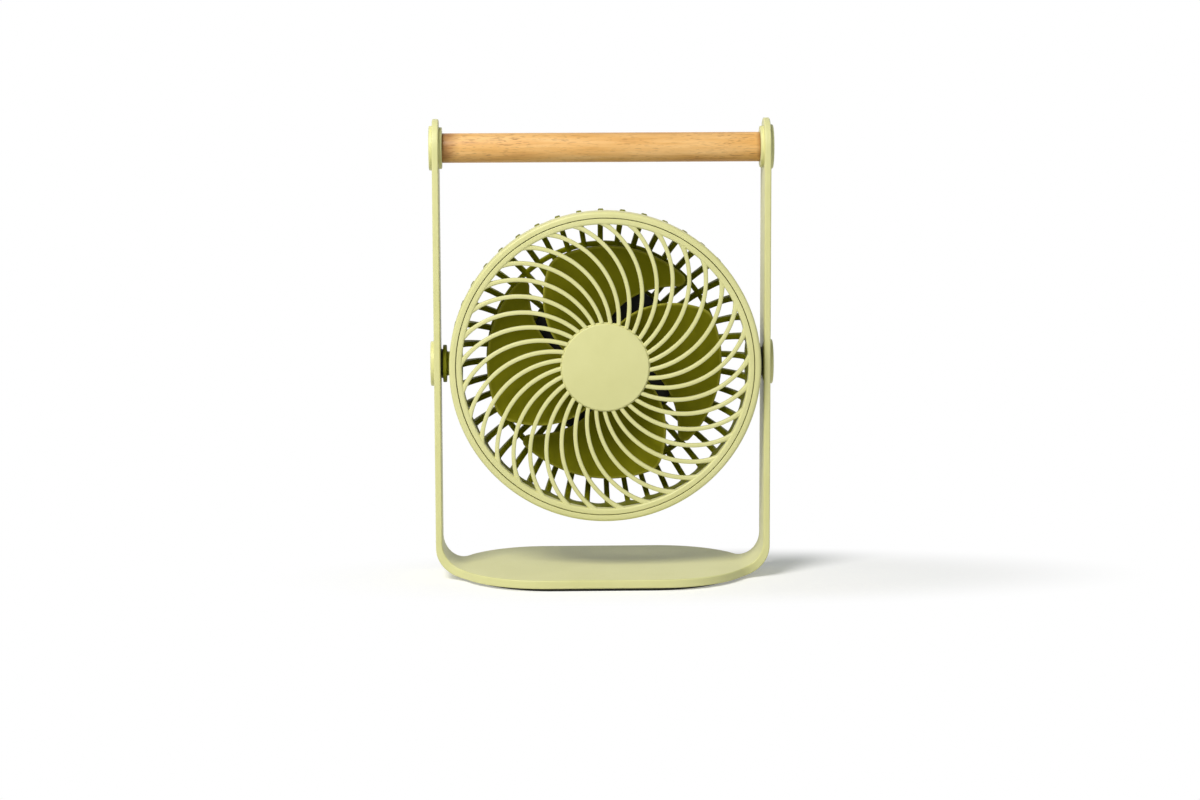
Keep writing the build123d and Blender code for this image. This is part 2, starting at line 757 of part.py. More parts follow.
def rear_guard():
    """Rim band, deep bars, ring and back disc in one moulding."""
    bar = bowl_wall(0) & strip(motor_plate_radius + free_gap, bar_radius)
    bar -= section([
        (band_radius - bar_rise, seat_y),
        (band_radius - bar_rise, bar_start_y - bar_lead),
        (bar_radius, bar_start_y + bar_lead),
        (bar_radius + bar_rise, bar_start_y + bar_lead),
        (bar_radius + bar_rise, seat_y),
    ])
    bar = extrude(bar, amount=bar_width / 2, both=True)
    ring = strip(guard_ring_radius - guard_ring_width / 2, guard_ring_radius + guard_ring_width / 2)
    ring = bowl_wall(guard_ring_setback) & ring
    band = section([
        (band_inner_radius, seat_y),
        (band_radius, seat_y),
        (band_radius, slot_y),
        (band_inner_radius, slot_y),
    ])
    back = disc(guard_disc_radius, plate_back_y, guard_back_y)
    post = disc(board_post_radius, plate_back_y, board_front_y)
    posts = [Pos(across, 0, up) * post for across, up in board_screw_places()]
    bosses = []
    for sign in sides.values():
        bosses.append(Rot(0, sign * 90, 0) * rod(pivot_boss_radius, boss_inner_radius, boss_face_radius))
    cuts = []
    for sign in sides.values():
        facing = rod(pivot_boss_radius + free_gap, boss_face_radius, boss_face_radius + bar_depth)
        socket = rod(spigot_radius + press_gap, boss_face_radius - spigot_length, boss_face_radius)
        pilot = rod(large_screw[0] / 2 + press_gap, boss_inner_radius, boss_face_radius)
        cuts.append(Rot(0, sign * 90, 0) * (facing + socket + pilot))
    for across, up in motor_screw_places() + cover_screw_places():
        cuts.append(Pos(across, 0, up) * disc(small_screw[0] / 2 + press_gap, plate_back_y, guard_back_y))
    for across, up in board_screw_places():
        pilot = disc(board_screw[0] / 2 + press_gap, plate_back_y, board_front_y)
        cuts.append(Pos(across, 0, up) * pilot)
    guard = spun(band).fuse(back, spun(ring), *ring_of(bar, bar_count, bar_phase), *posts, *bosses)
    return guard.cut(*cuts)


# Rear cover and what it holds


def rear_cover():
    """Round shell on the guard's back disc, with posts for its screws."""
    outer = disc(cover_radius, guard_back_y, cover_back_y)
    outer = fillet(outer.edges().group_by(Axis.Y)[-1], cover_edge_radius)
    inner = disc(cover_radius - cover_wall, guard_back_y - cover_wall, cover_inside_y)
    inner = fillet(inner.edges().group_by(Axis.Y)[-1], cover_edge_radius - cover_wall)
    shell = outer - inner
    shank, head, height = small_screw
    for across, up in cover_screw_places():
        shell += Pos(across, 0, up) * disc(cover_post_radius, guard_back_y, cover_inside_y)
    for across, up in cover_screw_places():
        hole = disc(shank / 2 + hole_gap, guard_back_y, cover_back_y)
        seat = disc(head / 2 + hole_gap, cover_back_y - height, cover_back_y)
        shell -= Pos(across, 0, up) * (hole + seat)
    shell -= Pos(0, 0, button_up) * disc(button_radius + free_gap, cover_inside_y, cover_back_y)
    shell -= Pos(lens_across, 0, button_up) * disc(lens_radius + press_gap, cover_inside_y, cover_back_y)
    mouth = Box(socket_width + 2 * hole_gap, socket_height + 2 * hole_gap, cover_radius)
    shell -= Pos(0, board_back_y + socket_height / 2, -cover_radius) * mouth
    return shell


def cover_screws():
    """Screws through the rear cover into the guard."""
    seat = cover_back_y - small_screw[2]
    fastener = Pos(0, seat, 0) * Rot(-90, 0, 0) * screw(small_screw, seat - plate_back_y)
    return [Pos(across, 0, up) * fastener for across, up in cover_screw_places()]


def battery_tray():
    """Shallow tray that holds the battery pack on the guard's disc."""
    edge = battery_edge_radius + tray_wall
    outer = slab(RectangleRounded(tray_width, tray_height, edge), guard_back_y, guard_back_y + tray_depth)
    room = RectangleRounded(tray_width - 2 * tray_wall, tray_height - 2 * tray_wall, battery_edge_radius)
    return Pos(0, 0, tray_middle) * (outer - slab(room, battery_front_y, guard_back_y + tray_depth))


def battery_pack():
    """Flat rechargeable pack."""
    outline = RectangleRounded(battery_width, battery_height, battery_edge_radius)
    pack = slab(outline, battery_front_y, battery_back_y)
    return Pos(0, 0, tray_middle) * fillet(pack.edges().group_by(Axis.Y)[-1], battery_edge_radius / 2)


def circuit_board():
    """Board on two posts of the guard."""
    board = Pos(0, board_top - board_height / 2) * Rectangle(board_width, board_height)
    for place in board_screw_places():
        board -= Pos(*place) * Circle(board_screw[0] / 2 + hole_gap)
    return slab(board, board_front_y, board_back_y)


def board_screws():
    """Screws that hold the circuit board."""
    fastener = Pos(0, board_back_y, 0) * Rot(-90, 0, 0) * screw(board_screw, board_back_y - plate_back_y)
    return [Pos(across, 0, up) * fastener for across, up in board_screw_places()]


def charging_socket():
    """Flat metal socket at the board's lower edge, open downwards, with its contact tongue."""
    inner_corner = socket_corner_radius - socket_wall
    outline = RectangleRounded(socket_width, socket_height, socket_corner_radius)
    room = RectangleRounded(socket_width - 2 * socket_wall, socket_height - 2 * socket_wall, inner_corner)
    shell = extrude(outline, amount=socket_length) - extrude(room, amount=socket_length - socket_wall)
    tongue = extrude(Rectangle(tongue_width, tongue_thickness), amount=socket_length - socket_recess)
    shell += Pos(0, 0, socket_recess) * tongue
    return Pos(0, board_back_y + socket_height / 2, socket_recess - cover_radius) * shell


def tact_switch():
    """Switch on the board, under the power button."""
    body = slab(Rectangle(switch_size, switch_size), board_back_y, switch_back_y)
    body += disc(plunger_radius, switch_back_y, plunger_back_y)
    return Pos(0, 0, button_up) * body


def power_button():
    """Round button that slides in the cover, kept in by a flange."""
    cap = disc(button_radius, button_front_y, cover_back_y + button_stand)
    cap = fillet(cap.edges().group_by(Axis.Y)[-1], button_edge_radius)
    flange = disc(button_radius + button_flange, button_front_y, button_front_y + button_flange_thickness)
    return Pos(0, 0, button_up) * (cap + flange)


def indicator_lens():
    """Small light pipe beside the button."""
    return Pos(lens_across, 0, button_up) * disc(lens_radius, cover_inside_y - lens_reach, cover_back_y)


stand_pieces = {
    "stand_band": stand_band(),
    "base_pad": base_pad(),
    "handle_bar": handle_bar(),
    "handle_screws": handle_screws(),
    "spring_washers": spring_washers(),
    "pivot_screws": pivot_screws(),
}
for side, sign in sides.items():
    stand_pieces["handle_washer_" + side] = handle_washer(sign)
    stand_pieces["handle_cap_" + side] = handle_cap(sign)
    stand_pieces["pivot_bush_" + side] = pivot_bush(sign)
    stand_pieces["pivot_cap_" + side] = pivot_cap(sign)
    stand_pieces["trunnion_" + side] = trunnion(sign)

head_pieces = {
    "front_bezel": front_bezel(),
    "front_grille": front_grille(),
    "centre_cap": centre_cap(),
    "impeller": impeller(),
    "motor_shaft": motor_shaft(),
    "bearing_front": sleeve_bearing(tube_front_y),
    "bearing_rear": sleeve_bearing(rear_bearing_y),
    "shaft_clip": shaft_clip(),
    "stator_core": stator_core(),
    "stator_coils": stator_coils(),
    "rotor_magnet": rotor_magnet(),
    "rotor_yoke": rotor_yoke(),
    "motor_plate": motor_plate(),
    "motor_screws": motor_screws(),
    "rear_guard": rear_guard(),
    "rear_cover": rear_cover(),
    "cover_screws": cover_screws(),
    "battery_tray": battery_tray(),
    "battery_pack": battery_pack(),
    "circuit_board": circuit_board(),
    "board_screws": board_screws(),
    "charging_socket": charging_socket(),
    "tact_switch": tact_switch(),
    "power_button": power_button(),
    "indicator_lens": indicator_lens(),
}


def placed(shape, lift):
    """Piece, or group of like pieces, ready to write."""
    solids = shape if isinstance(shape, list) else [shape]
    solids = [in_stand(solid) if lift else solid for solid in solids]
    return solids[0] if len(solids) == 1 else Compound(children=solids)


os.makedirs("parts", exist_ok=True)
for name, shape in stand_pieces.items():
    export_step(placed(shape, False), "parts/" + name + ".step")
for name, shape in head_pieces.items():
    export_step(placed(shape, True), "parts/" + name + ".step")
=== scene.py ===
import json
import logging
import math
from dataclasses import dataclass, field
from enum import Enum
from typing import Any, Callable, Iterable, Sequence

import bmesh
import bpy
from mathutils import Matrix, Vector
from mathutils.kdtree import KDTree


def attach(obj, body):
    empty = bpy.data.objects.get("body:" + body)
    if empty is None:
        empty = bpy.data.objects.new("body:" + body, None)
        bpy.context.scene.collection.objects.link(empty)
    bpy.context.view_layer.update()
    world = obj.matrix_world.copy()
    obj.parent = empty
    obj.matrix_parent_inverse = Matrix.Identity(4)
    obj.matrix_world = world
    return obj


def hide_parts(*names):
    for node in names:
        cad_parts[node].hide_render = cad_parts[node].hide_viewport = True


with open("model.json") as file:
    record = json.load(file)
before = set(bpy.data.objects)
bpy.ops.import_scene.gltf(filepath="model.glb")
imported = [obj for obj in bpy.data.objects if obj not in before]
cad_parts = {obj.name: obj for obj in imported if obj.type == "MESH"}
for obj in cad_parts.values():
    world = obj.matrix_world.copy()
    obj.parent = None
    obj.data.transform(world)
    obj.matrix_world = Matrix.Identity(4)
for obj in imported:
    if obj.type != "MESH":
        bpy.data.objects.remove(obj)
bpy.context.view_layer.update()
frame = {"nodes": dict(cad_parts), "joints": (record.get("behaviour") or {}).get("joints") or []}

# Portable fan: an oval base with two arms, a round head that tilts between them and a wooden
# carrying bar. Sizes are in millimetres and are turned into metres where points are made.

log = logging.getLogger("portable_fan")

MM = 0.001
FULL_TURN = 2 * math.pi
MERGE_DISTANCE = 0.002 * MM
CREASE = 35.0
SOFT_CREASE = 40.0
BEVEL_STEPS = 4
ROUND_STEPS = 96
DISC_STEPS = 128
RING_STEPS = 192
CUT_PAST = 1.0
NOISE_MIDDLE = 0.5
# Name of the mesh mark that the wheel's painted edge highlight follows
HIGHLIGHT_MARK = "lip"

# Sizes that more than one sub-assembly goes by
ARM_INNER = 93.6
ARM_OUTER = 97.3
BAR_HEIGHT = 250.5
BAR_HALF_LENGTH = 91.7
PIVOT_HEIGHT = 125.3
BOSS_FACE = 88.2
RING_RADIUS = 90.0
RIM_SEAT = -17.0
SCREW_SEAT_RADIUS = 2.55
SCREW_SEAT_DEPTH = 1.6

Pair = tuple[float, float]
Triple = tuple[float, float, float]
Colour = tuple[int, int, int]
Stop = tuple[float, Colour]
Piece = bpy.types.Object
Material = bpy.types.Material
Socket = bpy.types.NodeSocket

WHITE: Colour = (255, 255, 255)


class Body(Enum):
    """Rigid bodies that the pieces move with."""

    STAND = "stand"
    HEAD = "head"
    WHEEL = "fan_wheel"
    BUTTON = "button"


class Side(Enum):
    """Sides of the fan as seen from the front."""

    LEFT = -1
    RIGHT = 1

    @property
    def word(self) -> str:
        """The side's name in small letters, as the nodes have it."""
        return self.name.lower()


class Facing(Enum):
    """Ways that a screw head can look, by the direction along the depth."""

    FRONT = -1
    BACK = 1


class BladeEdge(Enum):
    """Edges of a blade, by their share of the way across it."""

    LEADING = 0.0
    TRAILING = 1.0

    @property
    def inward(self) -> int:
        """Sign of the turn that leads from the edge into the blade."""
        return 1 if self is BladeEdge.LEADING else -1


class BarPlace(Enum):
    """Places of the rear guard's bars, by the value that their ring's tree takes."""

    ELSEWHERE = 0.0
    TILT_AXIS = 1.0


class Finish(Enum):
    """Finishes of the fan's pieces."""

    PISTACHIO = "pistachio_plastic"
    OLIVE = "olive_plastic"
    # Lighter copy of the olive: painted light for the trunnions, which sit in shade between arm and
    # head
    TRUNNION = "trunnion_plastic"
    WHEEL = "wheel_plastic"
    BLACK = "black_plastic"
    BUSH = "bush_plastic"
    RUBBER = "pad_rubber"
    BEECH = "beech"
    STEEL = "steel"
    COPPER = "copper"
    BRONZE = "bronze"
    FERRITE = "ferrite"
    WRAP = "battery_wrap"
    BOARD = "board"
    LENS = "lens"

    @property
    def slot(self) -> str:
        """Material slot in the record, where the painted-light copy for the trunnions has the
        guard's.
        """
        return Finish.OLIVE.value if self is Finish.TRUNNION else self.value


# Places and outlines


def linear(level: int) -> float:
    """Display level from 0 to 255 as the linear value that shaders take."""
    share = level / 255
    return share / 12.92 if share <= 0.04045 else ((share + 0.055) / 1.055) ** 2.4


def tone(colour: Colour) -> tuple[float, float, float, float]:
    """Display colour as a linear colour with full alpha."""
    return (linear(colour[0]), linear(colour[1]), linear(colour[2]), 1.0)


@dataclass(frozen=True)
class Axle:
    """Line that round pieces are turned about.

    centre is a point on the line, along its direction, and across and up span the plane square
    to it.
    """

    centre: Vector
    along: Vector
    across: Vector
    up: Vector

    def point(self, radius: float, depth: float, angle: float) -> Vector:
        """Point in metres at a radius, a depth along the line and an angle in radians round it."""
        outward = self.across * math.cos(angle) + self.up * math.sin(angle)
        return (self.centre + self.along * depth + outward * radius) * MM

    def beside(self, across: float, up: float) -> "Axle":
        """Parallel line through another place of the plane."""
        centre = self.centre + self.across * across + self.up * up
        return Axle(centre, self.along, self.across, self.up)


def joint_place(name: str) -> Vector:
    """Place of a joint in millimetres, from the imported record."""
    place = next(joint["pos_m"] for joint in frame["joints"] if joint["name"] == name)
    return Vector(place) / MM


def fan_axle() -> Axle:
    """Axis of the fan wheel, its depth growing towards the back."""
    centre = joint_place("wheel_spin")
    return Axle(centre, Vector((0, 1, 0)), Vector((1, 0, 0)), Vector((0, 0, 1)))


def side_axle(side: Side, height: float, offset: float = 0.0) -> Axle:
    """Level axis across the fan, its depth growing outwards on one side from an offset in X."""
    centre = Vector((offset, 0, height))
    return Axle(centre, Vector((side.value, 0, 0)), Vector((0, 1, 0)), Vector((0, 0, 1)))


def rounded(corners: Sequence[Triple], steps: int = 4) -> list[Pair]:
    """Rounds the corners of a closed outline.

    Args:
        corners: x, y and corner radius of each corner; a radius of nought keeps it sharp.
        steps: straight pieces in each rounded corner.

    Returns:
        The points of the rounded outline.
    """
    made: list[Pair] = []
    for index, (x, y, radius) in enumerate(corners):
        corner = Vector((x, y))
        if radius <= 0:
            made.append((x, y))
            continue
        before = Vector(corners[index - 1][:2]) - corner
        after = Vector(corners[(index + 1) % len(corners)][:2]) - corner
        before.normalize()
        after.normalize()
        half = before.angle(after) / 2
        centre = corner + (before + after).normalized() * (radius / math.sin(half))
        start = corner + before * (radius / math.tan(half)) - centre
        sweep = math.pi - 2 * half
        if before.x * after.y - before.y * after.x > 0:
            sweep = -sweep
        for step in range(steps + 1):
            turn = Matrix.Rotation(sweep * step / steps, 2)
            spot = centre + turn @ start
            made.append((spot.x, spot.y))
    return made


def arc(centre: Pair, radius: float, start: float, end: float, steps: int) -> list[Pair]:
    """Points along an arc from one direction in degrees to another, in equal steps."""
    angles = [math.radians(start + (end - start) * step / steps) for step in range(steps + 1)]
    return [(centre[0] + radius * math.cos(a), centre[1] + radius * math.sin(a)) for a in angles]


def inset(outline: Sequence[Pair], distance: float) -> list[Pair]:
    """Moves a closed outline inwards.

    Args:
        outline: points of the outline, in either direction.
        distance: how far each side moves.

    Returns:
        The points of the smaller outline, in the same order.
    """
    sharpest = 0.3
    count = len(outline)
    befores = [outline[index - 1] for index in range(count)]
    area = sum(a[0] * b[1] - b[0] * a[1] for a, b in zip(befores, outline))
    hand = 1.0 if area > 0 else -1.0
    made: list[Pair] = []
    for index in range(count):
        here = Vector(outline[index])
        before = (here - Vector(outline[index - 1])).normalized()
        after = (Vector(outline[(index + 1) % count]) - here).normalized()
        first = Vector((-before.y, before.x)) * hand
        second = Vector((-after.y, after.x)) * hand
        lean = (first + second) / max(1 + first.dot(second), sharpest)
        spot = here + lean * distance
        made.append((spot.x, spot.y))
    return made


def disc_profile(radius: float, low: float, high: float,
                 low_edge: float = 0.0, high_edge: float = 0.0) -> list[Pair]:
    """Profile of a round disc between two depths, with the radius of each rim's edge."""
    return rounded([(0, low, 0), (radius, low, low_edge), (radius, high, high_edge), (0, high, 0)])


# Meshes


@dataclass
class Shell:
    """Points and faces of a mesh in the making, in metres."""

    points: list[Vector] = field(default_factory=list)
    faces: list[tuple[int, ...]] = field(default_factory=list)

    def join(self, other: "Shell") -> "Shell":
        """Adds another shell to this one.

        Args:
            other: the shell whose points and faces are added.

        Returns:
            This shell.
        """
        start = len(self.points)
        self.points.extend(other.points)
        self.faces.extend(tuple(index + start for index in face) for face in other.faces)
        return self

    def piece(self, name: str, material: Material, crease: float = CREASE) -> Piece:
        """Makes the mesh object, closed, facing outwards and smooth up to an angle.

        Args:
            name: name of the object.
            material: its finish.
            crease: edges sharper than this many degrees stay sharp.

        Returns:
            The object, linked to the scene.
        """
        mesh = bpy.data.meshes.new(name)
        mesh.from_pydata([tuple(point) for point in self.points], [], self.faces)
        close_up(mesh)
        smooth(mesh, crease)
        mesh.materials.append(material)
        return linked(name, mesh)


def linked(name: str, data: bpy.types.ID | None) -> Piece:
    """Puts a mesh, lamp or camera into the scene.

    Args:
        name: name of the object.
        data: what the object holds.

    Returns:
        The object.
    """
    made = bpy.data.objects.new(name, data)
    bpy.context.scene.collection.objects.link(made)
    return made


def close_up(mesh: bpy.types.Mesh) -> None:
    """Merges doubled points, drops faces without area and turns the faces outwards.

    Args:
        mesh: the mesh to mend.
    """
    work = bmesh.new()
    work.from_mesh(mesh)
    bmesh.ops.remove_doubles(work, verts=work.verts, dist=MERGE_DISTANCE)
    bmesh.ops.dissolve_degenerate(work, edges=work.edges, dist=MERGE_DISTANCE)
    bmesh.ops.recalc_face_normals(work, faces=work.faces)
    work.to_mesh(mesh)
    work.free()


def smooth(mesh: bpy.types.Mesh, crease: float) -> None:
    """Shades a mesh smooth, with edges sharper than the crease angle in degrees kept sharp."""
    mesh.shade_smooth()
    mesh.set_sharp_from_angle(angle=math.radians(crease))


def skin(loops: Sequence[Sequence[Vector]], closed: bool = False, capped: bool = False) -> Shell:
    """Covers a row of closed loops with four sided faces.

    Args:
        loops: loops with the same number of points each.
        closed: whether the last loop joins the first.
        capped: whether the first and the last loop are filled.

    Returns:
        The shell.
    """
    width = len(loops[0])
    shell = Shell([point for loop in loops for point in loop])
    spans = len(loops) if closed else len(loops) - 1
    for row in range(spans):
        low = row * width
        high = (row + 1) % len(loops) * width
        for column in range(width):
            following = (column + 1) % width
            shell.faces.append((low + column, low + following, high + following, high + column))
    if capped:
        last = (len(loops) - 1) * width
        shell.faces.append(tuple(range(width)))
        shell.faces.append(tuple(range(last, last + width)))
    return shell


def turned(profile: Sequence[Pair], axle: Axle, steps: int = ROUND_STEPS) -> Shell:
    """Turns a closed profile about an axle.

    Args:
        profile: radius and depth of each point.
        axle: the line to turn about.
        steps: flats round the full turn.

    Returns:
        The shell.
    """
    angles = [FULL_TURN * step / steps for step in range(steps)]
    loops = [[axle.point(radius, depth, angle) for radius, depth in profile] for angle in angles]
    return skin(loops, closed=True)


def plate(outline: Sequence[Pair], low: float, high: float, edge: float,
          place: Callable[[float, float, float], Vector], steps: int = 3) -> Shell:
    """Gives an outline a thickness and rounded edges.

    Args:
        outline: points of the outline.
        low: one face of the plate.
        high: the other face.
        edge: radius of the rounded edges.
        place: turns a point of the outline and a height in the thickness into a place in metres.
        steps: straight pieces in each rounded edge.

    Returns:
        The shell.
    """
    layers: list[Pair] = []
    for step in range(steps + 1):
        angle = math.pi / 2 * step / steps
        layers.append((edge * (1 - math.sin(angle)), low + edge * (1 - math.cos(angle))))
    layers += [(distance, high - (height - low)) for distance, height in reversed(layers)]
    loops = []
    for distance, height in layers:
        loops.append([place(x, y, height) for x, y in inset(outline, distance)])
    return skin(loops, capped=True)


def settle(host: Piece) -> Piece:
    """Turns an object's modifiers into plain mesh.

    Args:
        host: the object.

    Returns:
        The same object, without modifiers.
    """
    bpy.context.view_layer.update()
    graph = bpy.context.evaluated_depsgraph_get()
    mesh = bpy.data.meshes.new_from_object(host.evaluated_get(graph))
    mesh.name = host.name
    host.modifiers.clear()
    host.data = mesh
    return host


def merged(name: str, pieces: Sequence[Piece]) -> Piece:
    """Joins several mesh objects of one finish into one.

    Args:
        name: name of the joined object.
        pieces: the objects, which are removed.

    Returns:
        The joined object.
    """
    work = bmesh.new()
    for piece in pieces:
        work.from_mesh(piece.data)
    mesh = bpy.data.meshes.new(name)
    work.to_mesh(mesh)
    work.free()
    mesh.materials.append(pieces[0].data.materials[0])
    for piece in pieces:
        bpy.data.objects.remove(piece)
    return linked(name, mesh)


def carved(piece: Piece, cutters: Sequence[Piece]) -> Piece:
    """Cuts holes and recesses into a piece.

    Args:
        piece: the object to cut.
        cutters: the shapes to take away, which are removed.

    Returns:
        The same object.
    """
    for cutter in cutters:
        cut = piece.modifiers.new("cut", "BOOLEAN")
        cut.operation = "DIFFERENCE"
        cut.solver = "EXACT"
        cut.object = cutter
    settle(piece)
    for cutter in cutters:
        bpy.data.objects.remove(cutter)
    close_up(piece.data)
    smooth(piece.data, CREASE)
    return piece


def softened(piece: Piece, edge: float) -> Piece:
    """Rounds the sharp edges of a piece and keeps its flats flat.

    Args:
        piece: the object.
        edge: radius of the rounded edges in millimetres.

    Returns:
        The same object.
    """
    bevel = piece.modifiers.new("edges", "BEVEL")
    bevel.width = edge * MM
    bevel.segments = BEVEL_STEPS
    bevel.limit_method = "ANGLE"
    bevel.angle_limit = math.radians(CREASE)
    bevel.use_clamp_overlap = False
    settle(piece)
    smooth(piece.data, CREASE)
    flats = piece.modifiers.new("flats", "WEIGHTED_NORMAL")
    flats.keep_sharp = True
    return settle(piece)


# Node trees

# Numbers of the Mix node's sockets for colours
MIX_FACTOR, MIX_FIRST, MIX_SECOND = 0, 6, 7
MIX_RESULT = 2


class NodeBench:
    """Adds nodes to one tree and joins them."""

    def __init__(self, tree: bpy.types.NodeTree) -> None:
        """Keeps the tree to work on."""
        self.tree = tree

    def add(self, kind: str, inputs: dict[Any, Any] | None = None,
            **settings: Any) -> bpy.types.Node:
        """Adds a node.

        Args:
            kind: Blender's name for the node type.
            inputs: values or sockets by input name or number.
            settings: the node's own options.

        Returns:
            The node.
        """
        node = self.tree.nodes.new(kind)
        for key, value in settings.items():
            setattr(node, key, value)
        for key, value in (inputs or {}).items():
            self.feed(node.inputs[key], value)
        return node

    def feed(self, socket: Socket, value: Any) -> None:
        """Joins another node's socket to an input, or sets its value.

        Args:
            socket: the input.
            value: the other node's socket, or a plain value.
        """
        if isinstance(value, Socket):
            self.tree.links.new(value, socket)
        else:
            socket.default_value = value

    def math(self, operation: str, *values: Any) -> Socket:
        """Adds a sum and returns its result."""
        inputs = dict(enumerate(values))
        return self.add("ShaderNodeMath", inputs, operation=operation).outputs[0]

    def ramp(self, factor: Socket, *stops: Stop) -> Socket:
        """Adds a colour ramp.

        Args:
            factor: the value that picks the colour.
            stops: places from 0 to 1 with their display colours.

        Returns:
            The colour socket.
        """
        node = self.add("ShaderNodeValToRGB", {"Fac": factor})
        band = node.color_ramp
        while len(band.elements) < len(stops):
            band.elements.new(0.5)
        for element, (place, colour) in zip(band.elements, stops):
            element.position = place
            element.color = tone(colour)
        return node.outputs["Color"]

    def spread(self, value: Socket, low: float, high: float,
               start: Any = 0.0, end: Any = 1.0) -> Socket:
        """Maps a value from the range of start to end to that of low to high, and keeps it in."""
        inputs = {"Value": value, "From Min": start, "From Max": end, "To Min": low, "To Max": high}
        return self.add("ShaderNodeMapRange", inputs).outputs["Result"]

    def blend(self, factor: Any, first: Any, second: Any) -> Socket:
        """Mixes two colours, with the factor as the share of the second."""
        inputs = {MIX_FACTOR: factor, MIX_FIRST: first, MIX_SECOND: second}
        return self.add("ShaderNodeMix", inputs, data_type="RGBA").outputs[MIX_RESULT]


class GeometryTree(NodeBench):
    """Geometry Nodes tree with named inputs."""

    leeway = 0.5

    def __init__(self, name: str, sizes: dict[str, str]) -> None:
        """Starts a tree.

        Args:
            name: name of the tree.
            sizes: socket type of each named input, in order.
        """
        super().__init__(bpy.data.node_groups.new(name, "GeometryNodeTree"))
        face = self.tree.interface
        face.new_socket("Geometry", in_out="INPUT", socket_type="NodeSocketGeometry")
        self.identifiers: dict[str, str] = {}
        for label, kind in sizes.items():
            socket = face.new_socket(label, in_out="INPUT", socket_type=kind)
            self.identifiers[label] = socket.identifier
        face.new_socket("Geometry", in_out="OUTPUT", socket_type="NodeSocketGeometry")
        self.given = self.add("NodeGroupInput").outputs

    def ring(self, geometry: Socket, near_side: bool = False) -> Socket:
        """Repeats a geometry about the fan axis.

        Args:
            geometry: the first copy, in its place at the right of the axis.
            near_side: whether only the copies on one side of the tree's Limit are made.

        Returns:
            The instances.
        """
        inputs = {0: self.given["Centre"], "Scale": -1.0}
        back = self.add("ShaderNodeVectorMath", inputs, operation="SCALE").outputs[0]
        inputs = {"Geometry": geometry, "Translation": back}
        first = self.add("GeometryNodeTransform", inputs).outputs[0]
        inputs = {"Count": self.given["Count"], "Position": self.given["Centre"]}
        places = self.add("GeometryNodePoints", inputs).outputs[0]
        step = self.math("DIVIDE", FULL_TURN, self.given["Count"])
        index = self.add("GeometryNodeInputIndex").outputs[0]
        angle = self.math("MULTIPLY_ADD", index, step, self.given["Phase"])
        inputs = {"Axis": (0, -1, 0), "Angle": angle}
        turn = self.add("FunctionNodeAxisAngleToRotation", inputs).outputs[0]
        inputs = {"Points": places, "Instance": first, "Rotation": turn}
        if near_side:
            height = self.math("ABSOLUTE", self.math("SINE", angle))
            below = self.math("LESS_THAN", height, self.given["Limit"])
            inputs["Selection"] = self.math("COMPARE", below, self.given["Below"], self.leeway)
        return self.add("GeometryNodeInstanceOnPoints", inputs).outputs[0]

    def end(self, instances: Socket) -> None:
        """Makes the instances real, gives them the finish and closes the tree.

        Args:
            instances: the ring's instances.
        """
        real = self.add("GeometryNodeRealizeInstances", {0: instances}).outputs[0]
        inputs = {"Geometry": real, "Material": self.given["Finish"]}
        dressed = self.add("GeometryNodeSetMaterial", inputs).outputs[0]
        self.add("NodeGroupOutput", {"Geometry": dressed})

    def run(self, host: Piece, count: int, phase: float, **sizes: Any) -> Piece:
        """Runs the tree on an object and keeps the result as plain mesh.

        Args:
            host: the object whose mesh and finish go in.
            count: copies in the full ring.
            phase: direction of the first copy in degrees.
            sizes: values of the tree's own inputs.

        Returns:
            The same object, with the result as its mesh.
        """
        values = {
            "Centre": fan_axle().centre * MM,
            "Count": count,
            "Phase": math.radians(phase),
            "Finish": host.data.materials[0],
            **sizes,
        }
        modifier = host.modifiers.new(self.tree.name, "NODES")
        modifier.node_group = self.tree
        for label, value in values.items():
            modifier[self.identifiers[label]] = value
        return settle(host)


RING_SIZES = {
    "Centre": "NodeSocketVector",
    "Count": "NodeSocketInt",
    "Phase": "NodeSocketFloat",
    "Finish": "NodeSocketMaterial",
}


class CopyRing(GeometryTree):
    """Ring of copies of the host's mesh about the fan axis."""

    def __init__(self) -> None:
        """Builds the tree."""
        super().__init__("copy_ring", RING_SIZES)
        self.end(self.ring(self.given["Geometry"]))


class PartRing(GeometryTree):
    """Ring of copies of which only those near the tilt axis, or only the others, are made."""

    def __init__(self) -> None:
        """Builds the tree."""
        sizes = dict(RING_SIZES, Limit="NodeSocketFloat", Below="NodeSocketFloat")
        super().__init__("part_ring", sizes)
        self.end(self.ring(self.given["Geometry"], near_side=True))


class RibRing(GeometryTree):
    """Ring of ribs, each swept along an arc with a rounded section that flares to the rim."""

    path_steps = 40
    edge_steps = 4

    def __init__(self) -> None:
        """Builds the tree."""
        ends = ("Start", "Middle", "End")
        sizes = ("Width", "Depth", "Edge", "Flare", "Reach")
        super().__init__("rib_ring", {
            **RING_SIZES,
            **dict.fromkeys(ends, "NodeSocketVector"),
            **dict.fromkeys(sizes, "NodeSocketFloat"),
        })
        inputs = {"Resolution": self.path_steps, **{end: self.given[end] for end in ends}}
        path = self.add("GeometryNodeCurveArc", inputs, mode="POINTS").outputs["Curve"]
        inputs = {"Curve": path, "Normal": (0.0, 1.0, 0.0)}
        facing = self.add("GeometryNodeSetCurveNormal", inputs, mode="FREE").outputs[0]
        inputs = {"Width": self.given["Depth"], "Height": self.given["Width"]}
        box = self.add("GeometryNodeCurvePrimitiveQuadrilateral", inputs).outputs[0]
        inputs = {"Curve": box, "Count": self.edge_steps, "Radius": self.given["Edge"]}
        profile = self.add("GeometryNodeFilletCurve", inputs, mode="POLY").outputs[0]
        along = self.add("GeometryNodeSplineParameter").outputs["Factor"]
        begin = self.math("SUBTRACT", 1.0, self.given["Reach"])
        swell = self.math("POWER", self.spread(along, 0.0, 1.0, begin), 2.0)
        scale = self.math("MULTIPLY_ADD", swell, self.given["Flare"], 1.0)
        inputs = {"Curve": facing, "Profile Curve": profile, "Scale": scale, "Fill Caps": True}
        self.end(self.ring(self.add("GeometryNodeCurveToMesh", inputs).outputs[0]))


